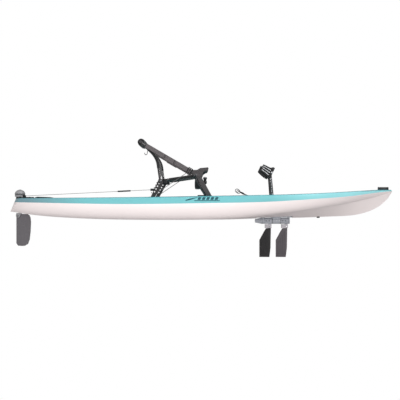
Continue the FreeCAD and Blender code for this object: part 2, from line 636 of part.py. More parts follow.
tilt = math.radians(size("pull_tilt"))
along = Vec(-math.cos(tilt), 0, math.sin(tilt))


def pull_shape(y, slid):
    start = Vec(size("pull_x"), y, pull_top - 1) - along * slid
    rod = Part.makeCylinder(1.6, 80, start - along * 30, along)
    slug = Part.makeCone(2.5, 7, 22, start + along * 46, along)
    slug = slug.fuse(Part.makeCone(7, 3, 34, start + along * 68, along))
    ring = Part.makeTorus(15.4, 2.6, start + along * 117, Vec(0, 1, 0))
    return rod.fuse([slug, ring]).removeSplitter()


pull_bores = [Part.makeCylinder(4, 120, Vec(size("pull_x"), side * size("pull_y"), pull_top - 1) - along * 70,
                                along) for side in (-1, 1)]
keep(shaped("forward_pull", pull_shape(-size("pull_y"), 0)), "forward_pull")
keep(shaped("reverse_pull", pull_shape(size("pull_y"), size("pull_stroke"))), "reverse_pull")
pull_ferrules = shaped("pull_ferrules", Part.Shape())

# ---------------------------------------------------------------- seat

hinge_x = size("seat_hinge_x")
hinge_z = size("seat_hinge_z")
back_half = size("back_half")
pan_half = size("pan_half")
tube_radius = size("tube_radius")
tube_bore = tube_radius - size("tube_wall")

BACK_LINE = [(-4, 14), (-15, 90), (-21, 148), (-36, 190), (-63, 228), (-92, 253), (-172, 333)]
PAN_LINE = [(53, 9), (303, 44), (386, 98)]


def u_tube(line, half, corner):
    side = [Vec(hinge_x + x, -half, hinge_z + z) for x, z in line]
    other = [Vec(p.x, half, p.z) for p in reversed(side)]
    return tube(side + other, tube_radius, corner, tube_bore)


back_tube = u_tube(BACK_LINE, back_half, 60)
lugs = [Part.makeCylinder(16, 22, Vec(hinge_x, y - 11, hinge_z), Vec(0, 1, 0)) for y in (-back_half, back_half)]
hinge_bores = [Part.makeCylinder(5 + running_gap, 60, Vec(hinge_x, y - 30, hinge_z), Vec(0, 1, 0))
               for y in (-back_half, back_half)]
strap_y = size("strap_y")
tabs = [Part.makeBox(20, strap_y - back_half - 6, 24, Vec(-474, y, 609))
        for y in (-strap_y, back_half + 6)]
core = tube([Vec(hinge_x + x, -back_half, hinge_z + z) for x, z in BACK_LINE]
            + [Vec(hinge_x + x, back_half, hinge_z + z) for x, z in reversed(BACK_LINE)], tube_bore, 60)
keep(shaped("back_frame", back_tube.fuse(lugs + tabs).cut(hinge_bores).cut(core)), "back_frame")
pan_tube = u_tube(PAN_LINE, pan_half, 60)
pan_solid = tube([Vec(hinge_x + x, -pan_half, hinge_z + z) for x, z in PAN_LINE]
                 + [Vec(hinge_x + x, pan_half, hinge_z + z) for x, z in reversed(PAN_LINE)], tube_radius, 60)
keep(shaped("pan_frame", pan_tube), "pan_frame")


def hinge_line(line, lift):
    return [(hinge_x + x, hinge_z + z + lift) for x, z in line]


mesh = size("mesh_thick")
pan_mesh = ribbon(hinge_line([(58, 8), (180, 20), (303, 40), (372, 84)], -2), mesh,
                  -pan_half + tube_radius + 0.5, pan_half - tube_radius - 0.5)
pan_mesh = pan_mesh.cut(pan_solid)
keep(shaped("pan_mesh", pan_mesh), "pan_mesh")
back_line = [(x + 2, z) for x, z in hinge_line([(-9, 50), (-15, 90), (-21, 148), (-36, 190), (-63, 228),
                                                (-92, 253), (-138, 297)], 0)]
back_mesh = ribbon(back_line[::-1], mesh, -back_half + tube_radius + 0.5, back_half - tube_radius - 0.5)
keep(shaped("back_mesh", back_mesh), "back_mesh")

roll_x = hinge_x + BACK_LINE[-1][0]
roll_z = hinge_z + BACK_LINE[-1][1]
roll = Part.makeCylinder(size("roll_radius"), 340, Vec(roll_x, -170, roll_z), Vec(0, 1, 0))
roll = roll.makeFillet(8, [e for e in roll.Edges if len(e.Vertexes) == 1 and e.Closed])
roll = roll.cut(Part.makeCylinder(tube_radius, 400, Vec(roll_x, -200, roll_z), Vec(0, 1, 0)))
roll = roll.cut(back_mesh)
keep(shaped("back_roll", roll), "back_roll")

leg_inner = size("leg_inner")
leg_thick = size("leg_thick")
leg = plate("rear_leg_flat", "XZ_Plane",
            [("Sizes.seat_hinge_x-16", "Sizes.seat_hinge_z+10"), ("Sizes.seat_hinge_x+18", "Sizes.seat_hinge_z+14"),
             ("Sizes.seat_hinge_x+22", "Sizes.seat_hinge_z-16"), ("-388", "%g" % (deck_height(-411) + 5)),
             ("-424", "%g" % (deck_height(-411) + 5))], "Sizes.leg_thick", offset="Sizes.leg_inner")
leg_holes = [cylinder("leg_pin_hole", "Y", "5+Sizes.running_gap", "60", "Sizes.seat_hinge_x", "-Sizes.leg_inner-30",
                      "Sizes.seat_hinge_z")]
for k in range(1, 5):
    leg_holes.append(cylinder("leg_hole_%d" % k, "Y", "5.5", "60",
                              "Sizes.seat_hinge_x-%g" % (12.4 * k), "-Sizes.leg_inner-30",
                              "Sizes.seat_hinge_z-%g" % (23.0 * k)))
both_sides(cut("rear_leg", leg, leg_holes), "rear_legs")

front_foot = "%g" % (deck_height(64) + 5)
front_leg = plate("front_leg_flat", "XZ_Plane",
                  [("-88", "424"), ("-92", "402"), ("-62", "384"), ("-40", "366"), ("-33", "350"),
                   ("44", front_foot), ("86", front_foot), ("2", "362"), ("8", "380"), ("14", "396"),
                   ("25", "414"), ("52", "421"), ("60", "434"), ("55", "446"), ("-12", "440"), ("-37", "424")],
                  "Sizes.leg_thick", offset="Sizes.leg_inner")
boss_top = "Sizes.seat_hinge_z+49"
leg_boss = box("leg_boss", "Sizes.seat_hinge_x+296", "Sizes.seat_hinge_x+330", "-Sizes.leg_inner",
               "-Sizes.pan_half-Sizes.tube_radius+3", "Sizes.seat_hinge_z+34", boss_top)
boss_fit = shaped("leg_boss_fit", pan_solid)
both_sides(cut("front_leg", fuse("front_leg_blank", [front_leg, leg_boss]), [boss_fit]), "front_legs")
brace_line = [Vec(-52, -236, 352), Vec(34, -236, deck_height(64) + 14)]
brace = shaped("front_brace", Part.makeCylinder(8, (brace_line[1] - brace_line[0]).Length, brace_line[0],
                                                brace_line[1] - brace_line[0]))
both_sides(brace, "front_braces")

bracket = fuse("bracket_blank", [
    box("bracket_cheek", "Sizes.seat_hinge_x-20", "Sizes.seat_hinge_x+52", "-Sizes.back_half+13",
        "-Sizes.back_half+16", "Sizes.seat_hinge_z-22", "Sizes.seat_hinge_z+14"),
    box("bracket_block", "Sizes.seat_hinge_x+24", "Sizes.seat_hinge_x+52", "-Sizes.back_half+13",
        "-Sizes.pan_half+9", "Sizes.seat_hinge_z-18", "Sizes.seat_hinge_z+17"),
    box("bracket_foot", "Sizes.seat_hinge_x+24", "Sizes.seat_hinge_x+52", "-Sizes.leg_inner",
        "-Sizes.back_half+13", "Sizes.seat_hinge_z-18", "Sizes.seat_hinge_z")])
bracket = cut("hinge_bracket", bracket, [
    cylinder("bracket_bore", "Y", "5+Sizes.running_gap", "60", "Sizes.seat_hinge_x", "-Sizes.back_half-10",
             "Sizes.seat_hinge_z")])
both_sides(bracket, "hinge_brackets")

pins = [Part.makeCylinder(5, 47, Vec(hinge_x, y, hinge_z), Vec(0, 1, 0)) for y in (-259, 212)]
keep(shaped("seat_pins", Part.makeCompound(pins)), "seat_pins")

strap_from = Vec(-462, 0, 628)
strap_to = Vec(-112, 0, 424)
strap_run = (strap_to - strap_from).normalize()
strap_side = Vec(-strap_run.z, 0, strap_run.x) * (size("strap_width") / 2)


def strap_piece(start, end, grow, y0, y1):
    low_side = strap_side * (1 + grow)
    ring = [start - low_side, end - low_side, end + strap_side, start + strap_side]
    return prism([(p.x, p.z) for p in ring], y0, y1)


strap = strap_piece(strap_from, strap_to, 0, -strap_y - 3, -strap_y)
doubled = strap_piece(strap_from + strap_run * 175, strap_from + strap_run * 275, 0.35, -strap_y - 6, -strap_y - 3)
both_sides(shaped("recline_strap", strap.fuse(doubled).removeSplitter()), "recline_straps")
buckle = strap_piece(strap_to - strap_run * 6, strap_to + strap_run * 34, 0.1, -strap_y - 8, -leg_inner - leg_thick)
slot = strap_piece(strap_to - strap_run * 10, strap_to, 0.05, -strap_y - 3.2, -strap_y + 0.2)
both_sides(shaped("strap_buckle", buckle.cut(strap).cut(slot)), "strap_buckles")
stay_from = Vec(-372, -strap_y - 4, 232)
stay_to = Vec(-128, -strap_y - 4, 396)
stay = Part.makeCylinder(2.6, (stay_to - stay_from).Length, stay_from, stay_to - stay_from)
both_sides(shaped("seat_stay", stay), "seat_stays")

hook_line = [Vec(-446, -252, 606), Vec(-452, -252, 572), Vec(-455, -252, 556), Vec(-465, -252, 549),
             Vec(-475, -252, 556), Vec(-474, -252, 568)]
keep(shaped("rod_hook", tube(hook_line, 2.5, 12)), "rod_hook")

pouch = Part.makeBox(56, 280, 84, Vec(-60, -140, 270))
pouch = pouch.makeFillet(9, pouch.Edges).cut(pan_mesh)
keep(shaped("seat_pouch", pouch), "seat_pouch")

for source, label in ((crank, "left_crank_arm"), (right_pedal, "left_pedal"),
                      (right_strap, "left_pedal_strap")):
    mirror(source, label)

# ---------------------------------------------------------------- steering handle

lever_z = deck_height(size("handle_x")) + 9
lever = fuse("steering_lever", [
    cylinder("lever_stub", "Z", "8", "%g" % (lever_z - 184), "Sizes.handle_x", "Sizes.handle_y", "184.5"),
    box("lever_arm", "Sizes.handle_x-10", "Sizes.handle_x+Sizes.handle_reach+10", "Sizes.handle_y-10",
        "Sizes.handle_y+10", "%g" % lever_z, "%g" % (lever_z + 9)),
    cylinder("lever_post", "Z", "7", "%g" % (330 - lever_z - 8), "Sizes.handle_x+Sizes.handle_reach",
             "Sizes.handle_y", "%g" % (lever_z + 8))])
keep(lever, "steering_lever")
KNOB = [(0, 0), (12, 0), (17, 8), (17, 26), (12, 34), (14, 44), (19, 50), (18, 60), (10, 66), (0, 67)]
knob_x = size("handle_x") + size("handle_reach")
profile = [Vec(knob_x + r, size("handle_y"), 322 + z) for r, z in KNOB]
knob = Part.Face(Part.makePolygon(profile + profile[:1])).revolve(
    Vec(knob_x, size("handle_y"), 0), Vec(0, 0, 1), 360)
knob = knob.cut(Part.makeCylinder(7, 8, Vec(knob_x, size("handle_y"), 322)))
keep(shaped("steering_knob", knob), "steering_knob")

# ---------------------------------------------------------------- rudder line

line_from = Vec(-1541, -38, 208)
line_to = Vec(-418, -263, 258)
line_run = (line_to - line_from)
line_length = line_run.Length
heading = Vec(line_run).normalize()
keep(shaped("rudder_line", Part.makeCylinder(1.7, line_length, line_from, heading)), "rudder_line")
sleeve_from = line_from + heading * (0.743 * line_length)
keep(shaped("line_sleeve", Part.makeCylinder(6, 112, sleeve_from, heading).cut(
    Part.makeCylinder(1.7, 130, sleeve_from - heading * 5, heading))), "line_sleeve")
fairlead = Part.makeBox(22, 20, 16, Vec(-1557, -48, 199))
keep(shaped("line_fairlead", fairlead.cut(Part.makeCylinder(1.7, 40, line_from, heading))), "line_fairlead")
cleat = Part.makeBox(34, 12, 20, Vec(-426, -268, 248))
keep(shaped("line_cleat", cleat.cut(Part.makeCylinder(1.7, 200, line_from + heading * (line_length - 200),
                                                      heading))), "line_cleat")

# ---------------------------------------------------------------- joined sets and final cuts

doc.recompute()
socket_join.Shape = Part.makeCompound([s.Shape for s in sockets])
keep(socket_join, "seat_sockets")
sunk.append(socket_join)
lock_pair.Shape = Part.makeCompound([s.Shape for s in locks])
keep(lock_pair, "drive_pins")
pull_ferrules.Shape = Part.makeCompound([b.Shape.cut(bore_shape)
                                         for b, bore_shape in zip(ferrule_boxes, pull_bores)])
keep(pull_ferrules, "pull_ferrules")
solid_ferrules = shaped("ferrule_tool", Part.makeCompound([b.Shape for b in ferrule_boxes]))
bores = shaped("pull_bore_tool", Part.makeCompound(pull_bores))
lever_hole = cylinder("lever_hole", "Z", "8.5", "60", "Sizes.handle_x", "Sizes.handle_y", "170")
keep(cut("deck_shell", deck_raw, sunk + [solid_ferrules, bores, lever_hole]), "deck_shell")
keep(cut("hull_shell", bottom_raw, [drain_plug]), "hull_shell")
doc.recompute()

# ---------------------------------------------------------------- checks and export

for obj in doc.Objects:
    for word in ("Invalid", "Error"):
        if word in obj.State:
            raise RuntimeError("%s is %s" % (obj.Label, word))
os.makedirs("parts", exist_ok=True)
for label, obj in NODES:
    shape = obj.Shape
    if shape.isNull() or not shape.isValid() or not shape.Solids:
        raise RuntimeError("bad shape: " + label)
    shape.exportStep("parts/%s.step" % label)
box_all = Part.makeCompound([obj.Shape for label, obj in NODES]).BoundBox
print("nodes", len(NODES))
print("box", [round(v, 1) for v in (box_all.XMin, box_all.XMax, box_all.YMin, box_all.YMax,
                                    box_all.ZMin, box_all.ZMax)])
for label, obj in NODES:
    solids = len(obj.Shape.Solids)
    if solids > 1:
        print(label, solids, "solids")
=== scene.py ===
"""Pedal boat: looks, light and camera, laid out as an add-on and run as a script."""

import json
import math

import bmesh
import bpy
from mathutils import Matrix, Vector


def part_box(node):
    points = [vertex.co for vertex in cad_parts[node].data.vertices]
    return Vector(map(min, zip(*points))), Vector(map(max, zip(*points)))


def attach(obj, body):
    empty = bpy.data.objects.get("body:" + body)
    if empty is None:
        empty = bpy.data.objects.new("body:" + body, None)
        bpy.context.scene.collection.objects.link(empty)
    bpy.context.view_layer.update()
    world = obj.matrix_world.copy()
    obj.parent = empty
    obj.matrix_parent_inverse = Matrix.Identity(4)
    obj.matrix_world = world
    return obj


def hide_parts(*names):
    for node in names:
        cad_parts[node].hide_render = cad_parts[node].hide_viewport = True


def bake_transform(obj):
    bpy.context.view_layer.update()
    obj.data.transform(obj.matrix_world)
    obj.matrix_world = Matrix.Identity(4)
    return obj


bl_info = {
    "name": "Pedal Boat Finisher",
    "version": (1, 0, 0),
    "blender": (4, 5, 0),
    "location": "View3D > Sidebar > Boat",
    "description": "Dresses the pedal boat frame with cloth, webbing, fittings, paint and studio light",
    "category": "Object",
}

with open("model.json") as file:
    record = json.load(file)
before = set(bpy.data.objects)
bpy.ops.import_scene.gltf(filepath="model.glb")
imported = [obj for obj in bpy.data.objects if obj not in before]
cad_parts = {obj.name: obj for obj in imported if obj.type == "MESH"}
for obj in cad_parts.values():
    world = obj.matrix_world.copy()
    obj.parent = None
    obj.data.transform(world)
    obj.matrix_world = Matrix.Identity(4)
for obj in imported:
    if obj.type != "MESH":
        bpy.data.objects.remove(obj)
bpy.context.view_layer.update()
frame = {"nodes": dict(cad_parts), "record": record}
NODES = frame["nodes"]
BODY_OF = {node: body for body, members in frame["record"]["behaviour"]["bodies"].items()
           for node in members}


# ------------------------------------------------------------------ settings

def length_setting(name, description, default, low, high):
    return bpy.props.FloatProperty(
        name=name, description=description, default=default, min=low, max=high, unit="LENGTH")


def colour_setting(name, description, default):
    return bpy.props.FloatVectorProperty(
        name=name, description=description, subtype="COLOR", default=default, min=0.0, max=1.0)


class BoatSizes(bpy.types.PropertyGroup):
    cloth_sag: length_setting(
        "Seat sag", "How far the seat cloth hangs at its middle", 0.012, 0.0, 0.03)
    cloth_thick: length_setting(
        "Cloth thickness", "Thickness of the seat cloth", 0.0022, 0.001, 0.005)
    strap_width: length_setting(
        "Strap width", "Width of a recline strap", 0.036, 0.02, 0.06)
    strap_thick: length_setting(
        "Strap thickness", "Thickness of the webbing", 0.0024, 0.001, 0.004)
    edge_round: length_setting(
        "Edge rounding", "Rounding on moulded edges", 0.0018, 0.0003, 0.005)
    edge_band_radius: length_setting(
        "Deck trim radius", "Radius of the trim round the deck edge", 0.0028, 0.001, 0.006)


class BoatColours(bpy.types.PropertyGroup):
    hull: colour_setting("Hull", "Lower shell colour", (0.88, 0.8, 0.79))
    deck: colour_setting("Deck", "Deck shell colour", (0.16, 0.47, 0.5))
    mark: colour_setting("Side mark", "Colour of the plain stripes on the side", (0.012, 0.075, 0.098))
    webbing: colour_setting("Webbing", "Strap and side panel colour", (0.098, 0.087, 0.09))
    cloth: colour_setting("Seat cloth", "Seat mesh colour", (0.03, 0.03, 0.032))
    drive: colour_setting("Drive", "Drive housing colour", (0.33, 0.345, 0.38))


def sizes():
    return bpy.context.scene.boat_sizes


def colours():
    return bpy.context.scene.boat_colours


# ------------------------------------------------------------------ shader groups

def new_group(name, inputs, outputs):
    group = bpy.data.node_groups.new(name, "ShaderNodeTree")
    for title, kind, default in inputs:
        socket = group.interface.new_socket(title, in_out="INPUT", socket_type=kind)
        if default is not None:
            socket.default_value = default
    for title, kind in outputs:
        group.interface.new_socket(title, in_out="OUTPUT", socket_type=kind)
    return group, group.nodes.new("NodeGroupInput"), group.nodes.new("NodeGroupOutput")


def math_node(tree, operation, first, second=None, third=None):
    node = tree.nodes.new("ShaderNodeMath")
    node.operation = operation
    for index, value in enumerate((first, second, third)):
        if value is None:
            continue
        if isinstance(value, (int, float)):
            node.inputs[index].default_value = value
        else:
            tree.links.new(value, node.inputs[index])
    return node.outputs[0]


def mix_colour(tree, factor, first, second):
    node = tree.nodes.new("ShaderNodeMix")
    node.data_type = "RGBA"
    for index, value in ((0, factor), (6, first), (7, second)):
        if isinstance(value, (int, float)):
            node.inputs[index].default_value = value
        elif isinstance(value, (tuple, list)):
            node.inputs[index].default_value = tuple(value)[:3] + (1.0,)
        else:
            tree.links.new(value, node.inputs[index])
    return node.outputs[2]


def noise(tree, vector, scale, detail=3.0, roughness=0.55):
    node = tree.nodes.new("ShaderNodeTexNoise")
    node.inputs["Detail"].default_value = detail
    node.inputs["Roughness"].default_value = roughness
    if isinstance(scale, (int, float)):
        node.inputs["Scale"].default_value = scale
    else:
        tree.links.new(scale, node.inputs["Scale"])
    tree.links.new(vector, node.inputs["Vector"])
    return node.outputs["Fac"]


def remap(tree, value, low, high, out_low=0.0, out_high=1.0):
    node = tree.nodes.new("ShaderNodeMapRange")
    tree.links.new(value, node.inputs["Value"])
    for title, number in (("From Min", low), ("From Max", high), ("To Min", out_low), ("To Max", out_high)):
        node.inputs[title].default_value = number
    return node.outputs["Result"]


def build_grain():
    """Moulded skin: fine pebble height, broad colour drift and a dust mask."""
    group, given, out = new_group(
        "moulded_grain",
        [("Vector", "NodeSocketVector", None), ("Pebble Scale", "NodeSocketFloat", 700.0),
         ("Drift Scale", "NodeSocketFloat", 6.0)],
        [("Height", "NodeSocketFloat"), ("Drift", "NodeSocketFloat"), ("Dust", "NodeSocketFloat")])
    pebble = noise(group, given.outputs["Vector"], given.outputs["Pebble Scale"], 2.0)
    drift = noise(group, given.outputs["Vector"], given.outputs["Drift Scale"], 4.0)
    fine = noise(group, given.outputs["Vector"], 55.0, 6.0, 0.7)
    group.links.new(pebble, out.inputs["Height"])
    group.links.new(drift, out.inputs["Drift"])
    group.links.new(remap(group, fine, 0.56, 0.78), out.inputs["Dust"])
    return group


def build_weave():
    """Plain weave: two crossed sets of threads over and under each other."""
    group, given, out = new_group(
        "plain_weave",
        [("Vector", "NodeSocketVector", None), ("Threads", "NodeSocketFloat", 500.0)],
        [("Height", "NodeSocketFloat"), ("Thread", "NodeSocketFloat"), ("Gap", "NodeSocketFloat")])
    split = group.nodes.new("ShaderNodeSeparateXYZ")
    group.links.new(given.outputs["Vector"], split.inputs[0])
    along = math_node(group, "MULTIPLY", split.outputs[0], given.outputs["Threads"])
    across = math_node(group, "MULTIPLY", split.outputs[1], given.outputs["Threads"])
    warp = math_node(group, "ABSOLUTE", math_node(group, "SINE", along))
    weft = math_node(group, "ABSOLUTE", math_node(group, "SINE", across))
    turn = math_node(group, "MULTIPLY",
                     math_node(group, "SINE", math_node(group, "MULTIPLY", along, 0.5)),
                     math_node(group, "SINE", math_node(group, "MULTIPLY", across, 0.5)))
    over = remap(group, turn, -0.4, 0.4)
    height = math_node(group, "ADD", math_node(group, "MULTIPLY", warp, over),
                       math_node(group, "MULTIPLY", weft, math_node(group, "SUBTRACT", 1.0, over)))
    gap = remap(group, math_node(group, "ADD", warp, weft), 0.55, 0.15)
    group.links.new(height, out.inputs["Height"])
    group.links.new(over, out.inputs["Thread"])
    group.links.new(gap, out.inputs["Gap"])
    return group


def build_brush():
    """Drawn metal: long fine scratches along the first axis."""
    group, given, out = new_group(
        "drawn_metal", [("Vector", "NodeSocketVector", None), ("Fineness", "NodeSocketFloat", 900.0)],
        [("Height", "NodeSocketFloat"), ("Streak", "NodeSocketFloat")])
    stretch = group.nodes.new("ShaderNodeMapping")
    stretch.inputs["Scale"].default_value = (0.04, 1.0, 1.0)
    group.links.new(given.outputs["Vector"], stretch.inputs["Vector"])
    lines = noise(group, stretch.outputs[0], given.outputs["Fineness"], 2.0)
    broad = noise(group, stretch.outputs[0], 60.0, 3.0)
    group.links.new(lines, out.inputs["Height"])
    group.links.new(broad, out.inputs["Streak"])
    return group


GROUPS = {}


def group_node(tree, name):
    builders = {"moulded_grain": build_grain, "plain_weave": build_weave, "drawn_metal": build_brush}
    if name not in GROUPS:
        GROUPS[name] = builders[name]()
    node = tree.nodes.new("ShaderNodeGroup")
    node.node_tree = GROUPS[name]
    return node


# ------------------------------------------------------------------ finishes

FINISHES = {}


def scaled(colour, share):
    return tuple(c * share for c in colour)


def open_material(name):
    material = bpy.data.materials.new(name)
    material.use_nodes = True
    tree = material.node_tree
    shader = tree.nodes["Principled BSDF"]
    coords = tree.nodes.new("ShaderNodeTexCoord").outputs["Object"]
    FINISHES[name] = material
    return material, tree, shader, coords


def bump(tree, shader, height, strength, distance=0.001):
    node = tree.nodes.new("ShaderNodeBump")
    node.inputs["Strength"].default_value = strength
    node.inputs["Distance"].default_value = distance
    tree.links.new(height, node.inputs["Height"])
    tree.links.new(node.outputs["Normal"], shader.inputs["Normal"])


def moulded(name, colour, roughness, pebble=700.0, relief=0.12, drift=0.1, dust=0.1, coat=0.0,
            dust_tint=(0.6, 0.58, 0.55)):
    material, tree, shader, coords = open_material(name)
    grain = group_node(tree, "moulded_grain")
    tree.links.new(coords, grain.inputs["Vector"])
    grain.inputs["Pebble Scale"].default_value = pebble
    deep = tuple(c * (1 - drift) for c in colour)
    pale = tuple(min(1.0, c * (1 + drift)) for c in colour)
    base = mix_colour(tree, grain.outputs["Drift"], deep, pale)
    dusty = mix_colour(tree, math_node(tree, "MULTIPLY", grain.outputs["Dust"], dust), base, dust_tint)
    tree.links.new(dusty, shader.inputs["Base Color"])
    tree.links.new(remap(tree, grain.outputs["Drift"], 0.3, 0.7, roughness - 0.06, roughness + 0.06),
                   shader.inputs["Roughness"])
    shader.inputs["Coat Weight"].default_value = coat
    bump(tree, shader, grain.outputs["Height"], relief, 0.0006)
    return material


def metal(name, colour, roughness, metallic=1.0, relief=0.05, turn=(0.0, 0.0, 0.0)):
    material, tree, shader, coords = open_material(name)
    mapping = tree.nodes.new("ShaderNodeMapping")
    mapping.inputs["Rotation"].default_value = turn
    tree.links.new(coords, mapping.inputs["Vector"])
    brush = group_node(tree, "drawn_metal")
    tree.links.new(mapping.outputs[0], brush.inputs["Vector"])
    base = mix_colour(tree, brush.outputs["Streak"], scaled(colour, 0.86),
                      tuple(min(1.0, c * 1.12) for c in colour))
    tree.links.new(base, shader.inputs["Base Color"])
    shader.inputs["Metallic"].default_value = metallic
    tree.links.new(remap(tree, brush.outputs["Streak"], 0.3, 0.7, roughness - 0.07, roughness + 0.07),
                   shader.inputs["Roughness"])
    bump(tree, shader, brush.outputs["Height"], relief, 0.0003)
    return material


def woven(name, colour, threads, roughness=0.85, turn=(0.0, 0.0, 0.0), contrast=0.35, relief=0.5,
          sheen=0.25):
    material, tree, shader, coords = open_material(name)
    mapping = tree.nodes.new("ShaderNodeMapping")
    mapping.inputs["Rotation"].default_value = turn
    tree.links.new(coords, mapping.inputs["Vector"])
    weave = group_node(tree, "plain_weave")
    tree.links.new(mapping.outputs[0], weave.inputs["Vector"])
    weave.inputs["Threads"].default_value = threads
    fade = noise(tree, coords, 14.0, 4.0)
    warp = tuple(min(1.0, c * (1 + contrast)) for c in colour)
    weft = tuple(c * (1 - contrast) for c in colour)
    threads_colour = mix_colour(tree, weave.outputs["Thread"], warp, weft)
    # Gaps between the threads are painted darker: painted shade between the threads.
    shaded_gaps = mix_colour(tree, weave.outputs["Gap"], threads_colour, scaled(colour, 0.25))
    # Random lighter wear on top of the painted gap shade.
    worn_and_shaded_gaps = mix_colour(tree, remap(tree, fade, 0.35, 0.75, 0.0, 0.35), shaded_gaps,
                      tuple(min(1.0, c * 1.5) for c in colour))
    tree.links.new(worn_and_shaded_gaps, shader.inputs["Base Color"])
    shader.inputs["Roughness"].default_value = roughness
    shader.inputs["Sheen Weight"].default_value = sheen
    bump(tree, shader, weave.outputs["Height"], relief, 0.0008)
    return material


def side_mark(tree, coords):
    """Plain slanted stripes and a row of blank bars on the deck side, with no lettering."""
    split = tree.nodes.new("ShaderNodeSeparateXYZ")
    tree.links.new(coords, split.inputs[0])
    x, y, z = split.outputs
    side = math_node(tree, "GREATER_THAN", math_node(tree, "ABSOLUTE", y), 0.4)
    lean = math_node(tree, "SUBTRACT", x,
                     math_node(tree, "MULTIPLY", math_node(tree, "SUBTRACT", z, 0.18), 0.45))

    def band(value, low, high):
        return math_node(tree, "MULTIPLY", math_node(tree, "GREATER_THAN", value, low),
                         math_node(tree, "LESS_THAN", value, high))

    bars = band(math_node(tree, "FRACT", math_node(tree, "MULTIPLY", lean, 29.0)), 0.1, 0.8)
    word = math_node(tree, "MULTIPLY", bars, math_node(
        tree, "MULTIPLY", band(lean, -0.038, 0.142), band(z, 0.1735, 0.196)))
    sweep = math_node(tree, "ADD", 0.17,
                      math_node(tree, "MULTIPLY", math_node(tree, "ADD", x, 0.125), 0.26))
    leaf = math_node(tree, "SUBTRACT", 0.0062, math_node(
        tree, "MULTIPLY", math_node(tree, "ABSOLUTE", math_node(tree, "ADD", x, 0.095)), 0.075))
    swoosh = math_node(tree, "MULTIPLY", band(x, -0.128, -0.028), math_node(
        tree, "LESS_THAN", math_node(tree, "ABSOLUTE", math_node(tree, "SUBTRACT", z, sweep)), leaf))
    line = math_node(tree, "MULTIPLY", band(x, -0.058, 0.146), band(z, 0.164, 0.1705))
    mark = math_node(tree, "MAXIMUM", math_node(tree, "MAXIMUM", word, swoosh), line)
    return math_node(tree, "MULTIPLY", mark, side)


def shell_finish(name, colour, mark=None):
    """Moulded shell skin: satin, faint mottling, scuffs low down, fine non-slip dots on top; on the deck,
    painted light towards the bow and painted shade towards the stern.
    """
    material, tree, shader, coords = open_material(name)
    grain = group_node(tree, "moulded_grain")
    tree.links.new(coords, grain.inputs["Vector"])
    grain.inputs["Pebble Scale"].default_value = 420.0
    grain.inputs["Drift Scale"].default_value = 2.2
    base = mix_colour(tree, grain.outputs["Drift"], scaled(colour, 0.955),
                      tuple(min(1.0, c * 1.03) for c in colour))
    split = tree.nodes.new("ShaderNodeSeparateXYZ")
    tree.links.new(coords, split.inputs[0])
    low = remap(tree, split.outputs[2], 0.075, -0.005)
    stretch = tree.nodes.new("ShaderNodeMapping")
    stretch.inputs["Scale"].default_value = (0.12, 1.0, 1.0)
    tree.links.new(coords, stretch.inputs["Vector"])
    rub = remap(tree, noise(tree, stretch.outputs[0], 60.0, 6.0, 0.7), 0.55, 0.75)
    scuffs_and_painted_light = mix_colour(tree, math_node(tree, "MULTIPLY",
                                         math_node(tree, "MULTIPLY", low, rub), 0.35), base,
                         (0.42, 0.39, 0.38))
    if mark is not None:
        # Deck only: painted light lightens the colour towards the bow, and painted shade darkens it towards
        # the stern.
        painted_bow_light = remap(tree, split.outputs[0], 0.55, 1.25)
        painted_stern_shade = remap(tree, split.outputs[0], -0.95, -1.45)
        scuffs_and_painted_light = mix_colour(tree, painted_bow_light, scuffs_and_painted_light, tuple(min(1.0, 1.55 * c + 0.13) for c in colour))
        scuffs_and_painted_light = mix_colour(tree, painted_stern_shade, scuffs_and_painted_light, (0.165, 0.3, 0.345))
        scuffs_and_painted_light = mix_colour(tree, side_mark(tree, coords), scuffs_and_painted_light, mark)
    tree.links.new(scuffs_and_painted_light, shader.inputs["Base Color"])
    tree.links.new(remap(tree, grain.outputs["Drift"], 0.3, 0.7, 0.3, 0.42), shader.inputs["Roughness"])
    dots = tree.nodes.new("ShaderNodeTexVoronoi")
    dots.inputs["Scale"].default_value = 160.0
    tree.links.new(coords, dots.inputs["Vector"])
    facing = tree.nodes.new("ShaderNodeNewGeometry")
    normal = tree.nodes.new("ShaderNodeSeparateXYZ")
    tree.links.new(facing.outputs["Normal"], normal.inputs[0])
    top = math_node(tree, "GREATER_THAN", normal.outputs[2], 0.9)
    tread = math_node(tree, "MULTIPLY", remap(tree, dots.outputs["Distance"], 0.1, 0.5, 1.0, 0.0), top)
    height = math_node(tree, "ADD", math_node(tree, "MULTIPLY", grain.outputs["Height"], 0.15), tread)
    bump(tree, shader, height, 0.18, 0.0012)
    return material


def foam_finish(name, colour):
    """Closed-cell foam sheet with routed grooves across it, the grooves painted darker as shade."""
    material, tree, shader, coords = open_material(name)
    split = tree.nodes.new("ShaderNodeSeparateXYZ")
    tree.links.new(coords, split.inputs[0])
    ridge = math_node(tree, "FRACT", math_node(tree, "MULTIPLY", split.outputs[0], 55.0))
    groove = math_node(tree, "LESS_THAN",
                       math_node(tree, "ABSOLUTE", math_node(tree, "SUBTRACT", ridge, 0.5)), 0.13)
    speck = noise(tree, coords, 900.0, 2.0)
    base = mix_colour(tree, speck, scaled(colour, 0.8), scaled(colour, 1.2))
    # Grooves coloured at a third of the sheet colour: painted shade in the recesses.
    tree.links.new(mix_colour(tree, groove, base, scaled(colour, 0.35)), shader.inputs["Base Color"])
    shader.inputs["Roughness"].default_value = 0.9
    height = math_node(tree, "SUBTRACT", math_node(tree, "MULTIPLY", speck, 0.3), groove)
    bump(tree, shader, height, 0.5, 0.002)
    return material


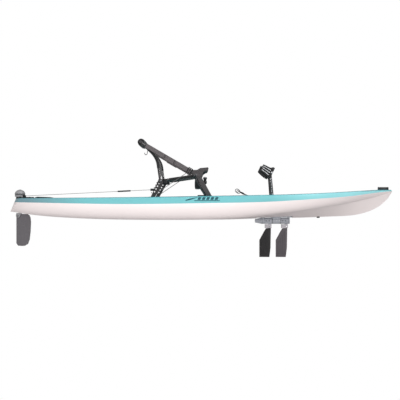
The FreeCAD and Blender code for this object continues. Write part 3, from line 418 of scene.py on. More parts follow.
def make_finishes():
    tone = colours()
    shell_finish("hull_white", tuple(tone.hull))
    shell_finish("deck_blue", tuple(tone.deck), tuple(tone.mark))
    moulded("black_plastic", (0.007, 0.007, 0.008), 0.4, relief=0.25, dust=0.02)
    moulded("soft_black", (0.009, 0.009, 0.01), 0.6, pebble=1100.0, relief=0.3, dust=0.02)
    moulded("head_grey", (0.29, 0.285, 0.295), 0.45, relief=0.2)
    # Pale grey for the pedal strap ribs: a painted highlight on the black strap.
    moulded("rib_painted_highlight", (0.72, 0.72, 0.74), 0.4, relief=0.1)
    moulded("rudder_grey", (0.12, 0.113, 0.122), 0.5, relief=0.25, drift=0.14)
    moulded("fin_rubber", (0.01, 0.009, 0.01), 0.5, relief=0.25, drift=0.25, dust=0.02)
    # A lighter copy of the fin rubber, used on the front fin.
    moulded("lighter_fin_rubber", (0.072, 0.064, 0.071), 0.5, relief=0.25, drift=0.35, dust=0.05)
    moulded("drive_grey", tuple(tone.drive), 0.34, relief=0.15, drift=0.08, coat=0.2)
    moulded("root_grey", (0.4, 0.385, 0.41), 0.38, relief=0.15, drift=0.05)
    # Dark teal for the band along the deck edge, darker than the deck.
    moulded("edge_band_teal", (0.03, 0.19, 0.225), 0.55, relief=0.2)
    moulded("warm_grey_coat", scaled(tone.webbing, 0.45), 0.34, relief=0.1, drift=0.1, dust=0.02, coat=0.15)
    foam_finish("deck_foam", (0.1, 0.115, 0.125))
    metal("stainless", (0.6, 0.6, 0.62), 0.28)
    metal("black_anodised", (0.12, 0.116, 0.118), 0.24, metallic=1.0)
    metal("dark_hardware", (0.16, 0.16, 0.165), 0.32)
    # Bright metal for the strips along the crank arms: a painted highlight.
    metal("highlight_strip_metal", (0.42, 0.42, 0.44), 0.26)
    woven("seat_cloth", scaled(tone.cloth, 0.35), 2400.0, relief=0.6)
    woven("pad_cloth", scaled(tone.cloth, 0.35), 3600.0, relief=0.4, sheen=0.15)
    woven("strap_webbing", tuple(tone.webbing), 2600.0, turn=(math.radians(90), 0.0, math.radians(30)),
          contrast=0.22, relief=0.6)
    woven("line_braid", (0.025, 0.024, 0.024), 4200.0, turn=(math.radians(90), 0.0, math.radians(45)))
    woven("stay_braid", (0.105, 0.095, 0.097), 4200.0, turn=(math.radians(90), 0.0, math.radians(45)))
    moulded("cheek_plastic", scaled(tone.webbing, 0.5), 0.4, relief=0.15, dust=0.02)
    woven("stitching", (0.02, 0.019, 0.02), 5200.0)


# ------------------------------------------------------------------ making pieces

def add_block(bm, low, high, bevel=0.0, segments=3):
    """Box from low to high with its edges rounded."""
    made = bmesh.ops.create_cube(bm, size=1.0)["verts"]
    bmesh.ops.scale(bm, vec=[h - l for l, h in zip(low, high)], verts=made)
    bmesh.ops.translate(bm, vec=[(l + h) / 2 for l, h in zip(low, high)], verts=made)
    if bevel:
        edges = list({e for v in made for e in v.link_edges})
        bmesh.ops.bevel(bm, geom=edges, offset=bevel, offset_type="OFFSET", segments=segments,
                        affect="EDGES", profile=0.5, material=-1, clamp_overlap=True)


def add_rod(bm, start, end, radius, sides=24, end_radius=None):
    start = Vector(start)
    end = Vector(end)
    turn = (end - start).to_track_quat("Z", "Y").to_matrix().to_4x4()
    bmesh.ops.create_cone(bm, cap_ends=True, segments=sides, radius1=radius,
                          radius2=radius if end_radius is None else end_radius,
                          depth=(end - start).length, matrix=Matrix.Translation((start + end) / 2) @ turn)


def add_turned(bm, origin, axis, profile, steps=32):
    """Spin a (radius, height) profile round an axis through origin."""
    axis = Vector(axis).normalized()
    side = axis.orthogonal().normalized()
    origin = Vector(origin)
    points = [bm.verts.new(origin + side * r + axis * h) for r, h in profile]
    edges = [bm.edges.new(pair) for pair in zip(points, points[1:])]
    bmesh.ops.spin(bm, geom=points + edges, cent=origin, axis=axis, angle=math.tau, steps=steps,
                   use_merge=True, use_duplicate=False)
    bmesh.ops.remove_doubles(bm, verts=bm.verts[:], dist=1e-6)


def add_bolt(bm, centre, axis, radius, height):
    """Button-head bolt with a round recess."""
    add_turned(bm, centre, axis, [(0.0, height * 0.55), (radius * 0.45, height * 0.55),
                                  (radius * 0.45, height),
                                  (radius * 0.75, height * 0.9), (radius, height * 0.45), (radius, 0.0),
                                  (0.0, 0.0)], 18)


def bolt_row(name, spots, finish, body):
    """One piece of bolts: each spot is centre, axis, radius and height."""
    bm = bmesh.new()
    for spot in spots:
        add_bolt(bm, *spot)
    return piece(name, bm, finish, body)


def piece(name, bm, finish, body, replaces=(), smooth=True, angle=40.0):
    """Turn a bmesh into a finished piece that rides on a body."""
    bmesh.ops.recalc_face_normals(bm, faces=bm.faces[:])
    mesh = bpy.data.meshes.new(name)
    bm.to_mesh(mesh)
    bm.free()
    return dress(name, mesh, finish, body, replaces, smooth, angle)


def dress(name, mesh, finish, body, replaces=(), smooth=True, angle=40.0):
    obj = bpy.data.objects.new(name, mesh)
    bpy.context.scene.collection.objects.link(obj)
    mesh.materials.clear()
    mesh.materials.append(FINISHES[finish])
    if smooth:
        mesh.shade_smooth()
        mesh.set_sharp_from_angle(angle=math.radians(angle))
    if body is not None:
        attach(obj, body)
    if replaces:
        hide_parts(*replaces)
    return obj


def softened(node, name, finish, width=None, segments=2):
    """Copy of a CAD node with its hard edges rounded over."""
    bm = bmesh.new()
    bm.from_mesh(NODES[node].data)
    bmesh.ops.remove_doubles(bm, verts=bm.verts[:], dist=1e-5)
    bmesh.ops.dissolve_limit(bm, angle_limit=math.radians(0.8), verts=bm.verts[:], edges=bm.edges[:])
    mesh = bpy.data.meshes.new(name)
    bm.to_mesh(mesh)
    bm.free()
    obj = dress(name, mesh, finish, BODY_OF[node], replaces=(node,), angle=50.0)
    rounding = obj.modifiers.new("rounding", "BEVEL")
    rounding.width = width or sizes().edge_round
    rounding.segments = segments
    rounding.limit_method = "ANGLE"
    rounding.angle_limit = math.radians(38)
    rounding.use_clamp_overlap = True
    rounding.harden_normals = False
    return obj


def curve_piece(name, points, radius, finish, body, closed=False, smooth=True, sides=6):
    """Round bar or cord along a smooth line."""
    curve = bpy.data.curves.new(name, "CURVE")
    curve.dimensions = "3D"
    spline = curve.splines.new("NURBS" if smooth else "POLY")
    spline.points.add(len(points) - 1)
    for spot, point in zip(spline.points, points):
        spot.co = (*point, 1.0)
    if smooth:
        spline.order_u = 3
        spline.use_endpoint_u = not closed
    spline.use_cyclic_u = closed
    curve.bevel_depth = radius
    curve.bevel_resolution = sides
    curve.resolution_u = 8
    curve.use_fill_caps = True
    holder = bpy.data.objects.new(name + "_line", curve)
    bpy.context.scene.collection.objects.link(holder)
    mesh = bpy.data.meshes.new_from_object(holder.evaluated_get(bpy.context.evaluated_depsgraph_get()))
    bpy.data.objects.remove(holder)
    return dress(name, mesh, finish, body)


def strip_mesh(bm, line, half_width, thick, across):
    """Flat band along a line of points: across is the direction of its width."""
    across = Vector(across).normalized()
    rails = []
    for spot in line:
        left = bm.verts.new(Vector(spot) - across * half_width)
        right = bm.verts.new(Vector(spot) + across * half_width)
        rails.append((left, right))
    faces = [bm.faces.new((a[0], a[1], b[1], b[0])) for a, b in zip(rails, rails[1:])]
    bmesh.ops.recalc_face_normals(bm, faces=faces)
    bmesh.ops.solidify(bm, geom=faces, thickness=thick)


# ------------------------------------------------------------------ operators

class BOAT_OT_shells(bpy.types.Operator):
    """Give the hull, deck, well and every kept node its finish."""
    bl_idname = "boat.shells"
    bl_label = "Shells and finishes"
    bl_options = {"REGISTER", "UNDO"}

    def execute(self, context):
        kept = {
            "hull_white": ("hull_shell", "drive_well", "scupper_tubes"),
            "deck_blue": ("deck_shell",),
            "black_plastic": ("rudder_tube", "drain_plug", "line_sleeve", "steering_base", "forward_pull",
                              "reverse_pull"),
            "stainless": ("drum_shaft", "crank_shaft", "drive_pins", "seat_pins", "rudder_stock",
                          "rudder_pin",
                          "rear_fin_pin", "front_fin_pin", "rear_fin_mast", "front_fin_mast"),
            "black_anodised": ("pan_frame", "back_frame", "front_braces"),
            "soft_black": ("rod_hook",),
                    }
        for finish, nodes in kept.items():
            for node in nodes:
                mesh = NODES[node].data
                mesh.materials.clear()
                mesh.materials.append(FINISHES[finish])
        return {"FINISHED"}


class BOAT_OT_moulded_parts(bpy.types.Operator):
    """Round over the moulded and machined parts."""
    bl_idname = "boat.moulded_parts"
    bl_label = "Moulded parts"
    bl_options = {"REGISTER", "UNDO"}

    def execute(self, context):
        jobs = (
            ("stern_plate", "black_plastic", 0.003), ("stern_handle", "soft_black", 0.0025),
            ("bow_handle", "black_plastic", 0.004), ("seat_sockets", "black_plastic", 0.0016),
            ("pull_ferrules", "black_plastic", 0.0012), ("line_fairlead", "black_plastic", 0.0015),
            ("line_cleat", "soft_black", 0.002), ("rear_legs", "black_anodised", 0.001),
            ("front_legs", "warm_grey_coat", 0.0018), ("hinge_brackets", "black_plastic", 0.0015),
            ("rudder_blade", "rudder_grey", 0.0035), ("drive_housing", "drive_grey", 0.005),
            ("drive_spine", "drive_grey", 0.0018), ("rear_fin_drum", "drive_grey", 0.0012),
            ("front_fin_drum", "drive_grey", 0.0012), ("rear_fin_root", "root_grey", 0.003),
            ("front_fin_root", "root_grey", 0.003), ("rear_fin_blade", "fin_rubber", 0.002),
            ("front_fin_blade", "lighter_fin_rubber", 0.002), ("right_crank_arm", "black_anodised", 0.002),
            ("left_crank_arm", "black_anodised", 0.002), ("right_pedal", "black_plastic", 0.0015),
            ("left_pedal", "black_plastic", 0.0015), ("steering_lever", "black_anodised", 0.0015),
            ("steering_knob", "soft_black", 0.002), ("rudder_head", "head_grey", 0.002),
        )
        for node, finish, width in jobs:
            softened(node, node + "_moulded", finish, width)
        return {"FINISHED"}


GUNWALE = (
    (-1.538, 0.211, 0.186), (-1.48, 0.2505, 0.1865), (-1.33, 0.3145, 0.1875), (-1.1, 0.379, 0.1885),
    (-0.8, 0.426, 0.1905), (-0.45, 0.4455, 0.1945), (-0.1, 0.447, 0.2005), (0.25, 0.4435, 0.2065),
    (0.6, 0.427, 0.2125), (0.9, 0.3885, 0.2225), (1.15, 0.319, 0.2355), (1.35, 0.224, 0.2475),
    (1.48, 0.141, 0.2555), (1.57, 0.081, 0.2595), (1.63, 0.0415, 0.2595), (1.662, 0.0205, 0.2585),
)


class BOAT_OT_deck_dressing(bpy.types.Operator):
    """Foam pads in the footwells and a dark teal band round the deck edge."""
    bl_idname = "boat.deck_dressing"
    bl_label = "Deck dressing"
    bl_options = {"REGISTER", "UNDO"}

    def execute(self, context):
        for side, name in ((-1, "right"), (1, "left")):
            bm = bmesh.new()
            low, high = sorted((side * 0.112, side * 0.274))
            add_block(bm, (0.16, low, 0.1421), (0.265, high, 0.1462), 0.0015, 2)
            add_block(bm, (0.336, low, 0.1421), (0.84, high, 0.1462), 0.0015, 2)
            piece(name + "_footwell_pad", bm, "deck_foam", "hull")
        self.edge_band()
        return {"FINISHED"}

    def edge_band(self):
        # A dark teal band along the deck edge, darker than the deck beside it.
        for side, name in ((1, "left"), (-1, "right")):
            curve_piece(name + "_deck_edge_band", [(x, side * y, z) for x, y, z in GUNWALE], sizes().edge_band_radius,
                        "edge_band_teal", "hull", sides=3)


SEAT_PAN = ((-0.287, 0.342), (-0.23, 0.3495), (-0.163, 0.3575), (-0.1, 0.366), (-0.05, 0.376),
            (-0.018, 0.398), (0.012, 0.421), (0.04, 0.4405))
SEAT_BACK = ((-0.35, 0.384), (-0.357, 0.424), (-0.362, 0.455), (-0.364, 0.482), (-0.37, 0.505),
             (-0.38, 0.526), (-0.393, 0.547), (-0.408, 0.564), (-0.434, 0.589), (-0.479, 0.63))


def cloth_panel(name, line, half_width, sag, sag_direction, body, node):
    """Stretched cloth between two side tubes: it sags at the middle."""
    columns = 56
    rows = 4 * (len(line) - 1)
    bm = bmesh.new()
    bmesh.ops.create_grid(bm, x_segments=rows, y_segments=columns, size=1.0)
    drop = Vector(sag_direction).normalized()
    for vert in bm.verts:
        along = (vert.co.x + 1) / 2
        side = vert.co.y
        step = min(len(line) - 2, int(along * (len(line) - 1)))
        share = along * (len(line) - 1) - step
        x, z = [a + (b - a) * share for a, b in zip(line[step], line[step + 1])]
        hang = sag * (1 - side ** 2) * math.sin(math.pi * (0.08 + 0.84 * along))
        vert.co = Vector((x, half_width * side, z)) + drop * hang
    bmesh.ops.solidify(bm, geom=bm.faces[:], thickness=sizes().cloth_thick)
    panel = piece(name, bm, "seat_cloth", body, replaces=(node,))
    return panel


def sleeve(name, line, y, radius, body, finish="seat_cloth"):
    return curve_piece(name, [(x, y, z) for x, z in line], radius, finish, body, sides=8)


class BOAT_OT_seat_cloth(bpy.types.Operator):
    """Seat and back cloth, sleeves, hems and seams."""
    bl_idname = "boat.seat_cloth"
    bl_label = "Seat cloth"
    bl_options = {"REGISTER", "UNDO"}

    def execute(self, context):
        sag = sizes().cloth_sag
        cloth_panel("seat_pan_cloth", SEAT_PAN, 0.199, sag, (0.05, 0, -1), "hull", "pan_mesh")
        cloth_panel("seat_back_cloth", SEAT_BACK, 0.226, sag, (-1, 0, -0.1), "seat_back", "back_mesh")
        pan_tube = [(-0.27, 0.345), (-0.2, 0.355), (-0.12, 0.367), (-0.07, 0.374)]
        back_tube = [(-0.36, 0.44), (-0.364, 0.475), (-0.3735, 0.508), (-0.39, 0.54), (-0.415, 0.572),
                     (-0.433, 0.587)]
        for side, name in ((-1, "right"), (1, "left")):
            sleeve(name + "_pan_sleeve", pan_tube, side * 0.208, 0.013, "hull")
            sleeve(name + "_back_sleeve", back_tube, side * 0.235, 0.013, "seat_back")
            for k, (line, half, body) in enumerate(((SEAT_PAN, 0.188, "hull"),
                                                    (SEAT_BACK, 0.214, "seat_back"))):
                lift = (0.0, 0.0035) if body == "hull" else (0.0035, 0.0008)
                seam = [(x + lift[0] * 0.6, z + lift[1]) for x, z in line[1:-1]]
                sleeve("%s_seam_%d" % (name, k), seam, side * half, 0.0012, body, "stitching")
        sleeve_line = [(0.045, y, 0.432) for y in (-0.15, -0.075, 0.0, 0.075, 0.15)]
        curve_piece("front_lip_sleeve", sleeve_line, 0.0135, "seat_cloth", "hull", sides=8)
        return {"FINISHED"}


class BOAT_OT_back_roll(bpy.types.Operator):
    """Padded roll over the top bar of the seat back."""
    bl_idname = "boat.back_roll"
    bl_label = "Back roll"
    bl_options = {"REGISTER", "UNDO"}

    def execute(self, context):
        low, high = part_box("back_roll")
        centre = Vector([(a + b) / 2 for a, b in zip(low, high)])
        half = (high[1] - low[1]) / 2
        radius = (high[2] - low[2]) / 2
        bm = bmesh.new()
        profile = [(0.012, -half * 0.985), (0.019, -half)]
        steps = 36
        for k in range(steps + 1):
            t = -1 + 2 * k / steps
            edge = max(0.0, (abs(t) - 0.9) / 0.1)
            pucker = 0.0012 * math.cos(k * math.pi / 3) + 0.0006 * math.sin(k * 2.7)
            profile.append((radius * (1 - 0.28 * edge ** 2) + pucker * (1 - edge) - 0.0015, half * t))
        profile += [(0.019, half), (0.012, half * 0.985)]
        add_turned(bm, centre, (0, 1, 0), profile, 40)
        roll = piece("back_roll_pad", bm, "pad_cloth", "seat_back", replaces=("back_roll",), angle=60)
        for side, name in ((-1, "right"), (1, "left")):
            rim = []
            for k in range(16):
                turn = math.tau * k / 16
                rim.append((centre.x + math.cos(turn) * radius * 0.8, centre.y + side * half * 0.975,
                            centre.z + math.sin(turn) * radius * 0.8))
            curve_piece(name + "_roll_piping", rim, 0.0016, "stitching", "seat_back", closed=True, sides=3)
        seam = [(centre.x - radius * 0.55, y, centre.z - radius * 0.82) for y in (-0.15, -0.05, 0.05, 0.15)]
        curve_piece("roll_closing_seam", seam, 0.0013, "stitching", "seat_back", sides=3)
        return {"FINISHED"}


STRAP_TOP = Vector((-0.462, 0.0, 0.628))
STRAP_END = Vector((-0.112, 0.0, 0.424))
STRAP_TAIL = 0.024


class BOAT_OT_recline_straps(bpy.types.Operator):
    """Webbing straps from the seat back to the front, with their doubled stretch and stitching."""
    bl_idname = "boat.recline_straps"
    bl_label = "Recline straps"
    bl_options = {"REGISTER", "UNDO"}

    def execute(self, context):
        run = (STRAP_END - STRAP_TOP).normalized()
        width = Vector((-run.z, 0.0, run.x))
        length = (STRAP_END - STRAP_TOP).length
        half = sizes().strap_width / 2
        thick = sizes().strap_thick
        for side, name in ((-1, "right"), (1, "left")):
            bm = bmesh.new()
            line = []
            for k in range(33):
                t = k / 32 * (1 + STRAP_TAIL / length)
                wave = 0.0006 * math.sin(t * 9.0)
                spot = STRAP_TOP + run * (length * t)
                line.append(Vector((spot.x, side * (0.2605 + wave), spot.z)))
            strip_mesh(bm, line, half, thick, width)
            fold = []
            for k in range(9):
                spot = STRAP_TOP + run * (length * (0.43 + 0.25 * k / 8)) - width * 0.0035
                lift = 0.0022 + 0.0016 * math.sin(math.pi * k / 8)
                fold.append(Vector((spot.x, side * (0.261 + lift), spot.z)))
            strip_mesh(bm, fold, half * 1.04, thick, width)
            strap = piece(name + "_recline_webbing", bm, "strap_webbing", None,
                          replaces=("recline_straps",),
                          angle=50)
            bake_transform(strap)
            seams = bmesh.new()
            for t in (0.44, 0.455, 0.665, 0.68):
                for k in range(9):
                    spot = (STRAP_TOP + run * (length * t) + width * (half * 0.84 * (k - 4) / 4)
                            - width * 0.0035)
                    spot.y = side * 0.2658
                    add_block(seams, spot - Vector((0.0014, 0.0004, 0.0014)),
                              spot + Vector((0.0014, 0.0004, 0.0014)), 0.0003, 1)
            thread = piece(name + "_strap_stitches", seams, "stitching", None)
            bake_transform(thread)
        return {"FINISHED"}


SEAT_BOLTS = ((-0.343, 0.334, 0.0105), (-0.046, 0.384, 0.0095), (0.0045, 0.342, 0.008),
              (-0.024, 0.416, 0.005), (-0.066, 0.408, 0.0045))


class BOAT_OT_seat_fittings(bpy.types.Operator):
    """Strap buckles, bolts, side panels, leg notches and the pouch."""
    bl_idname = "boat.seat_fittings"
    bl_label = "Seat fittings"
    bl_options = {"REGISTER", "UNDO"}

    def execute(self, context):
        run = (STRAP_END - STRAP_TOP).normalized()
        width = Vector((-run.z, 0.0, run.x))
        turn = Matrix((run, Vector((0, 1, 0)), width)).transposed().to_4x4()
        for side, name in ((-1, "right"), (1, "left")):
            bm = bmesh.new()
            for low, high in (((-0.006, -0.004, -0.026), (0.034, 0.004, -0.02)),
                              ((-0.006, -0.004, 0.02), (0.034, 0.004, 0.026)),
                              ((-0.006, -0.0045, -0.024), (0.002, 0.0045, 0.024)),
                              ((0.011, -0.0035, -0.024), (0.017, 0.0035, 0.024)),
                              ((0.026, -0.0045, -0.024), (0.036, 0.0045, 0.024))):
                add_block(bm, low, high, 0.0014, 2)
            bmesh.ops.transform(bm, matrix=Matrix.Translation((STRAP_END.x, side * 0.2625,
                                                               STRAP_END.z)) @ turn,
                                verts=bm.verts[:])
            piece(name + "_ladder_buckle", bm, "black_plastic", "hull", replaces=("strap_buckles",))
            bolt_row(name + "_seat_bolts", [
                ((x, side * 0.256, z), (0, side, 0), radius, 0.0042) for x, z, radius in SEAT_BOLTS],
                "dark_hardware", "hull")
            self.side_panel(side, name)
        self.pouch()
        self.leg_teeth()
        return {"FINISHED"}

    def side_panel(self, side, name):
        """Cloth cheek over the front corner of the seat, bound along its edge."""
        outline = ((-0.084, 0.421), (-0.088, 0.4035), (-0.06, 0.386), (-0.038, 0.369), (-0.004, 0.366),
                   (0.005, 0.381), (0.011, 0.397), (0.023, 0.416), (0.05, 0.4235), (0.057, 0.4335),
                   (0.053, 0.443), (-0.012, 0.437), (-0.037, 0.421))
        bm = bmesh.new()
        face = bm.faces.new([bm.verts.new((x, side * 0.2565, z)) for x, z in outline])
        bmesh.ops.inset_region(bm, faces=[face], thickness=0.006, depth=0.0)
        for vert in face.verts:
            vert.co.y += side * 0.0022
        bmesh.ops.solidify(bm, geom=bm.faces[:], thickness=0.0012)
        piece(name + "_seat_cheek", bm, "cheek_plastic", "hull", angle=50)
        edge = [(x, side * 0.2572, z) for x, z in outline]
        curve_piece(name + "_cheek_binding", edge, 0.0016, "stitching", "hull", closed=True, sides=3)

    def pouch(self):
        low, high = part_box("seat_pouch")
        bm = bmesh.new()
        add_block(bm, low, high)
        bmesh.ops.subdivide_edges(bm, edges=bm.edges[:], cuts=5, use_grid_fill=True)
        centre = [(a + b) / 2 for a, b in zip(low, high)]
        half = [(b - a) / 2 for a, b in zip(low, high)]
        for vert in bm.verts:
            u, v, w = [(vert.co[k] - centre[k]) / half[k] for k in range(3)]
            pull = 0.1 * (abs(u * v) + abs(v * w) + abs(u * w)) / 3
            vert.co.x = centre[0] + half[0] * u * (0.93 - pull + 0.07 * (1 - w * w) * (1 - v * v))
            vert.co.y = centre[1] + half[1] * v * (0.99 - 0.3 * pull)
            vert.co.z = centre[2] + half[2] * w * (1.0 - 0.5 * pull) - 0.004 * (1 - v * v) * max(0.0, -w)
        bmesh.ops.smooth_vert(bm, verts=bm.verts[:], factor=0.4, use_axis_x=True, use_axis_y=True,
                              use_axis_z=True)
        bag = piece("pouch_bag", bm, "pad_cloth", "hull", replaces=("seat_pouch",), angle=70)
        bag.modifiers.new("smooth", "SUBSURF").levels = 2
        bag.modifiers["smooth"].render_levels = 2
        flap = [(high[0] - 0.0015, y, high[2] - 0.028) for y in (-0.12, -0.06, 0.0, 0.06, 0.12)]
        curve_piece("pouch_zip", flap, 0.0022, "stitching", "hull", sides=3)
        tabs = bmesh.new()
        for y in (-0.095, 0.095):
            strip_mesh(tabs, [(-0.048, y, 0.34), (-0.05, y, 0.352), (-0.052, y, 0.372)],
                       0.012, 0.0016, (0, 1, 0))
        piece("pouch_tabs", tabs, "strap_webbing", "hull")

    def leg_teeth(self):
        """Height notches up the back of each rear leg."""
        for side, name in ((-1, "right"), (1, "left")):
            bm = bmesh.new()
            for k in range(5):
                x = -0.3615 - 0.0124 * k * 0.92 - 0.0105
                z = 0.318 - 0.023 * k * 0.92
                add_rod(bm, (x, side * 0.249, z), (x, side * 0.2575, z), 0.0042, 12)
            piece(name + "_leg_teeth", bm, "black_anodised", "hull")


LINE_AFT = Vector((-1.541, -0.038, 0.208))
LINE_FORE = Vector((-0.418, -0.263, 0.258))
STAY_LOW = Vector((-0.372, 0.263, 0.232))
STAY_HIGH = Vector((-0.128, 0.263, 0.396))


def taut_cord(name, start, end, radius, finish, node):
    """Cord pulled straight from start to end."""
    curve = bpy.data.curves.new(name, "CURVE")
    curve.dimensions = "3D"
    spline = curve.splines.new("NURBS")
    spline.points.add(4)
    for k, spot in enumerate(spline.points):
        spot.co = (*start.lerp(end, k / 4), 1.0)
    spline.order_u = 3
    spline.use_endpoint_u = True
    curve.bevel_depth = radius
    curve.bevel_resolution = 3
    curve.use_fill_caps = True
    cord = bpy.data.objects.new(name, curve)
    bpy.context.scene.collection.objects.link(cord)
    curve.materials.append(FINISHES[finish])
    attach(cord, "hull")
    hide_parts(node)
    return cord


class BOAT_OT_cords(bpy.types.Operator):
    """Rudder control line and the two stays under the seat."""
    bl_idname = "boat.cords"
    bl_label = "Cords"
    bl_options = {"REGISTER", "UNDO"}

    def execute(self, context):
        make_finishes()
        taut_cord("rudder_control_line", LINE_AFT, LINE_FORE, 0.0017, "line_braid", "rudder_line")
        for side, name in ((-1, "right"), (1, "left")):
            across = Vector((1, side, 1))
            taut_cord(name + "_seat_stay", STAY_LOW * across, STAY_HIGH * across, 0.0026,
                      "stay_braid", "seat_stays")
        return {"FINISHED"}


class BOAT_OT_rudder_details(bpy.types.Operator):
    """Bands, a head bolt, pivot bolts and ribs on the rudder, and screws on the stern plate."""
    bl_idname = "boat.rudder_details"
    bl_label = "Rudder details"
    bl_options = {"REGISTER", "UNDO"}

    def execute(self, context):
        low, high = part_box("rudder_head")
        x = (low[0] + high[0]) / 2
        base = low[2]
        bm = bmesh.new()
        for height, radius in ((0.0165, 0.0428), (0.025, 0.0446)):
            add_turned(bm, (x, 0, base + height), (0, 0, 1), [(radius - 0.003, -0.0022), (radius, -0.0022),
                                                              (radius + 0.0006, 0.0), (radius, 0.0022),
                                                              (radius - 0.003, 0.0022)], 40)
        piece("rudder_head_bands", bm, "black_plastic", "rudder_post")
        bolt_row("rudder_head_bolt", [((x, 0, high[2] - 0.0015), (0, 0, 1), 0.01, 0.0045)], "stainless",
                 "rudder_post")
        bolt_row("rudder_pivot_bolts", [
            ((-1.614, side * 0.015, 0.034), (0, side, 0), 0.008, 0.0035) for side in (-1, 1)],
            "dark_hardware", "rudder_post")
        ribs = bmesh.new()
        for side in (-1, 1):
            for k in range(3):
                z = -0.01 - 0.055 * k
                add_block(ribs, (-1.59, side * 0.008 - 0.0008, z - 0.002), (-1.548, side * 0.008 + 0.0008,
                                                                             z + 0.002), 0.0006, 2)
        piece("rudder_ribs", ribs, "rudder_grey", "rudder")
        bolt_row("stern_plate_screws", [
            ((px, py, 0.1985), (0, 0, 1), 0.0055, 0.0028)
            for px in (-1.609, -1.5) for py in (-0.038, 0.038)],
            "stainless", "hull")
        return {"FINISHED"}


FIN_MASTS = (("rear", 0.601), ("front", 0.745))


class BOAT_OT_drive_details(bpy.types.Operator):
    """Dark blocks painted as shade in the drum slots, bands, screws and ribs on the drive, and beading on
    the fins.
    """
    bl_idname = "boat.drive_details"
    bl_label = "Drive details"
    bl_options = {"REGISTER", "UNDO"}

    def execute(self, context):
        for side, mast in FIN_MASTS:
            drum = side + "_drum"
            # Black blocks in the drum slots: painted shade for the dark inside of the holes.
            slot_shade = bmesh.new()
            for face in (-1, 1):
                for x in (mast - 0.033, mast - 0.007):
                    add_block(slot_shade, (x - 0.007, face * 0.0255 - 0.0018, -0.014),
                              (x + 0.007, face * 0.0255 + 0.0018, -0.007), 0.0022, 3)
            piece(side + "_drum_slot_shade", slot_shade, "black_plastic", drum)
            bands = bmesh.new()
            for x in (mast - 0.044, mast + 0.015):
                add_turned(bands, (x, 0, -0.01), (1, 0, 0), [(0.0245, -0.0022), (0.0272, -0.0022),
                                                              (0.0276, 0.0), (0.0272, 0.0022),
                                                              (0.0245, 0.0022)], 40)
            piece(side + "_drum_bands", bands, "drive_grey", drum)
            screws = bmesh.new()
            for face in (-1, 1):
                add_bolt(screws, (mast, face * 0.015, -0.062), (0, face, 0), 0.0065, 0.0025)
                for x in (mast - 0.034, mast - 0.019):
                    add_bolt(screws, (x, face * 0.015, -0.047), (0, face, 0), 0.0032, 0.0016)
            piece(side + "_root_screws", screws, "stainless", side + "_root")
            ribs = bmesh.new()
            for face in (-1, 1):
                for k, x in enumerate((mast - 0.016, mast - 0.034, mast - 0.052, mast - 0.07)):
                    top = -0.1 - 0.03 * k
                    add_rod(ribs, (x, face * (0.0075 - 0.0011 * k), top),
                            (x - 0.002, face * (0.0075 - 0.0011 * k), -0.322), 0.0011, 8)
            piece(side + "_fin_battens", ribs, "fin_rubber", side + "_fin")
        screws = []
        for face in (-1, 1):
            screws += [((x, face * 0.0262, -0.01), (0, face, 0), 0.004, 0.0018)
                       for x in (0.503, 0.52, 0.637, 0.66, 0.682)]
            screws += [((x, face * 0.034, 0.112), (0, face, 0), 0.005, 0.0025) for x in (0.596, 0.656)]
        bolt_row("drive_screws", screws, "stainless", "hull")
        seams = bmesh.new()
        for x in (0.533, 0.623, 0.694):
            add_turned(seams, (x, 0, -0.01), (1, 0, 0), [(0.025, -0.0012), (0.0275, -0.0012),
                                                         (0.0275, 0.0012), (0.025, 0.0012)], 40)
        piece("spine_seams", seams, "black_plastic", "hull")
        return {"FINISHED"}


CRANK_SHAFT = Vector((0.626, 0.0, 0.095))
PEDAL_AXLE = Vector((0.6, 0.0, 0.405))
PEDAL_TILT = math.radians(65)


class BOAT_OT_crank_details(bpy.types.Operator):
    """Bright strips along the cranks as a painted highlight, caps on the cranks, studs and toe straps on
    the pedals.
    """
    bl_idname = "boat.crank_details"
    bl_label = "Crank and pedal details"
    bl_options = {"REGISTER", "UNDO"}

    def execute(self, context):
        reach = (PEDAL_AXLE - CRANK_SHAFT).normalized()
        for side, name in ((-1, "right"), (1, "left")):
            crank = name + "_crank"
            # A bright strip down the middle of each crank arm: a painted highlight.
            bm = bmesh.new()
            start = CRANK_SHAFT + reach * 0.04 + Vector((0, side * 0.0555, 0))
            end = CRANK_SHAFT + reach * 0.285 + Vector((0, side * 0.0555, 0))
            add_rod(bm, start, end, 0.0034, 12)
            piece(name + "_crank_highlight_strip", bm, "highlight_strip_metal", crank)
            outward = Vector((0, side, 0))
            bolt_row(name + "_crank_caps", [
                (CRANK_SHAFT + outward * 0.058, outward, 0.013, 0.0032),
                (PEDAL_AXLE + outward * 0.1535, outward, 0.0075, 0.003)], "stainless", crank)
            self.pedal(side, name)
        return {"FINISHED"}

    def pedal(self, side, name):
        turn = Matrix.Translation(PEDAL_AXLE) @ Matrix.Rotation(-PEDAL_TILT, 4, "Y")
        inner = side * 0.062
        outer = side * 0.15
        studs = bmesh.new()
        for x in (-0.038, -0.018, 0.018, 0.042):
            for t in (0.18, 0.4, 0.62, 0.84):
                y = inner + (outer - inner) * t
                add_rod(studs, (x, y, 0.008), (x, y, 0.0125), 0.0026, 10, 0.0018)
        bmesh.ops.transform(studs, matrix=turn, verts=studs.verts[:])
        piece(name + "_pedal_studs", studs, "black_plastic", name + "_pedal")
        softened(name + "_pedal_strap", name + "_toe_strap", "soft_black", 0.0008)
        # The ribs are ridges on the strap; their pale colour is a painted highlight on the near-black
        # strap.
        middle = side * 0.106
        for k, share in enumerate((0.22, 0.5, 0.78)):
            rib = []
            for height, turned in ((0.016, 0.0), (0.034, 0.0), (0.038, 0.3), (0.038, 0.62), (0.038, 0.95)):
                y = middle + side * 0.047 * math.cos(turned)
                z = height + 0.06 * math.sin(turned)
                rise = (z - 0.009) / 0.094
                x = (-0.046 + 0.028 * rise) * (1 - share) + (0.032 + 0.008 * rise) * share
                rib.append(turn @ Vector((x, y, z)))
            curve_piece("%s_strap_rib_%d" % (name, k), rib, 0.0026, "rib_painted_highlight", name + "_pedal", sides=3)


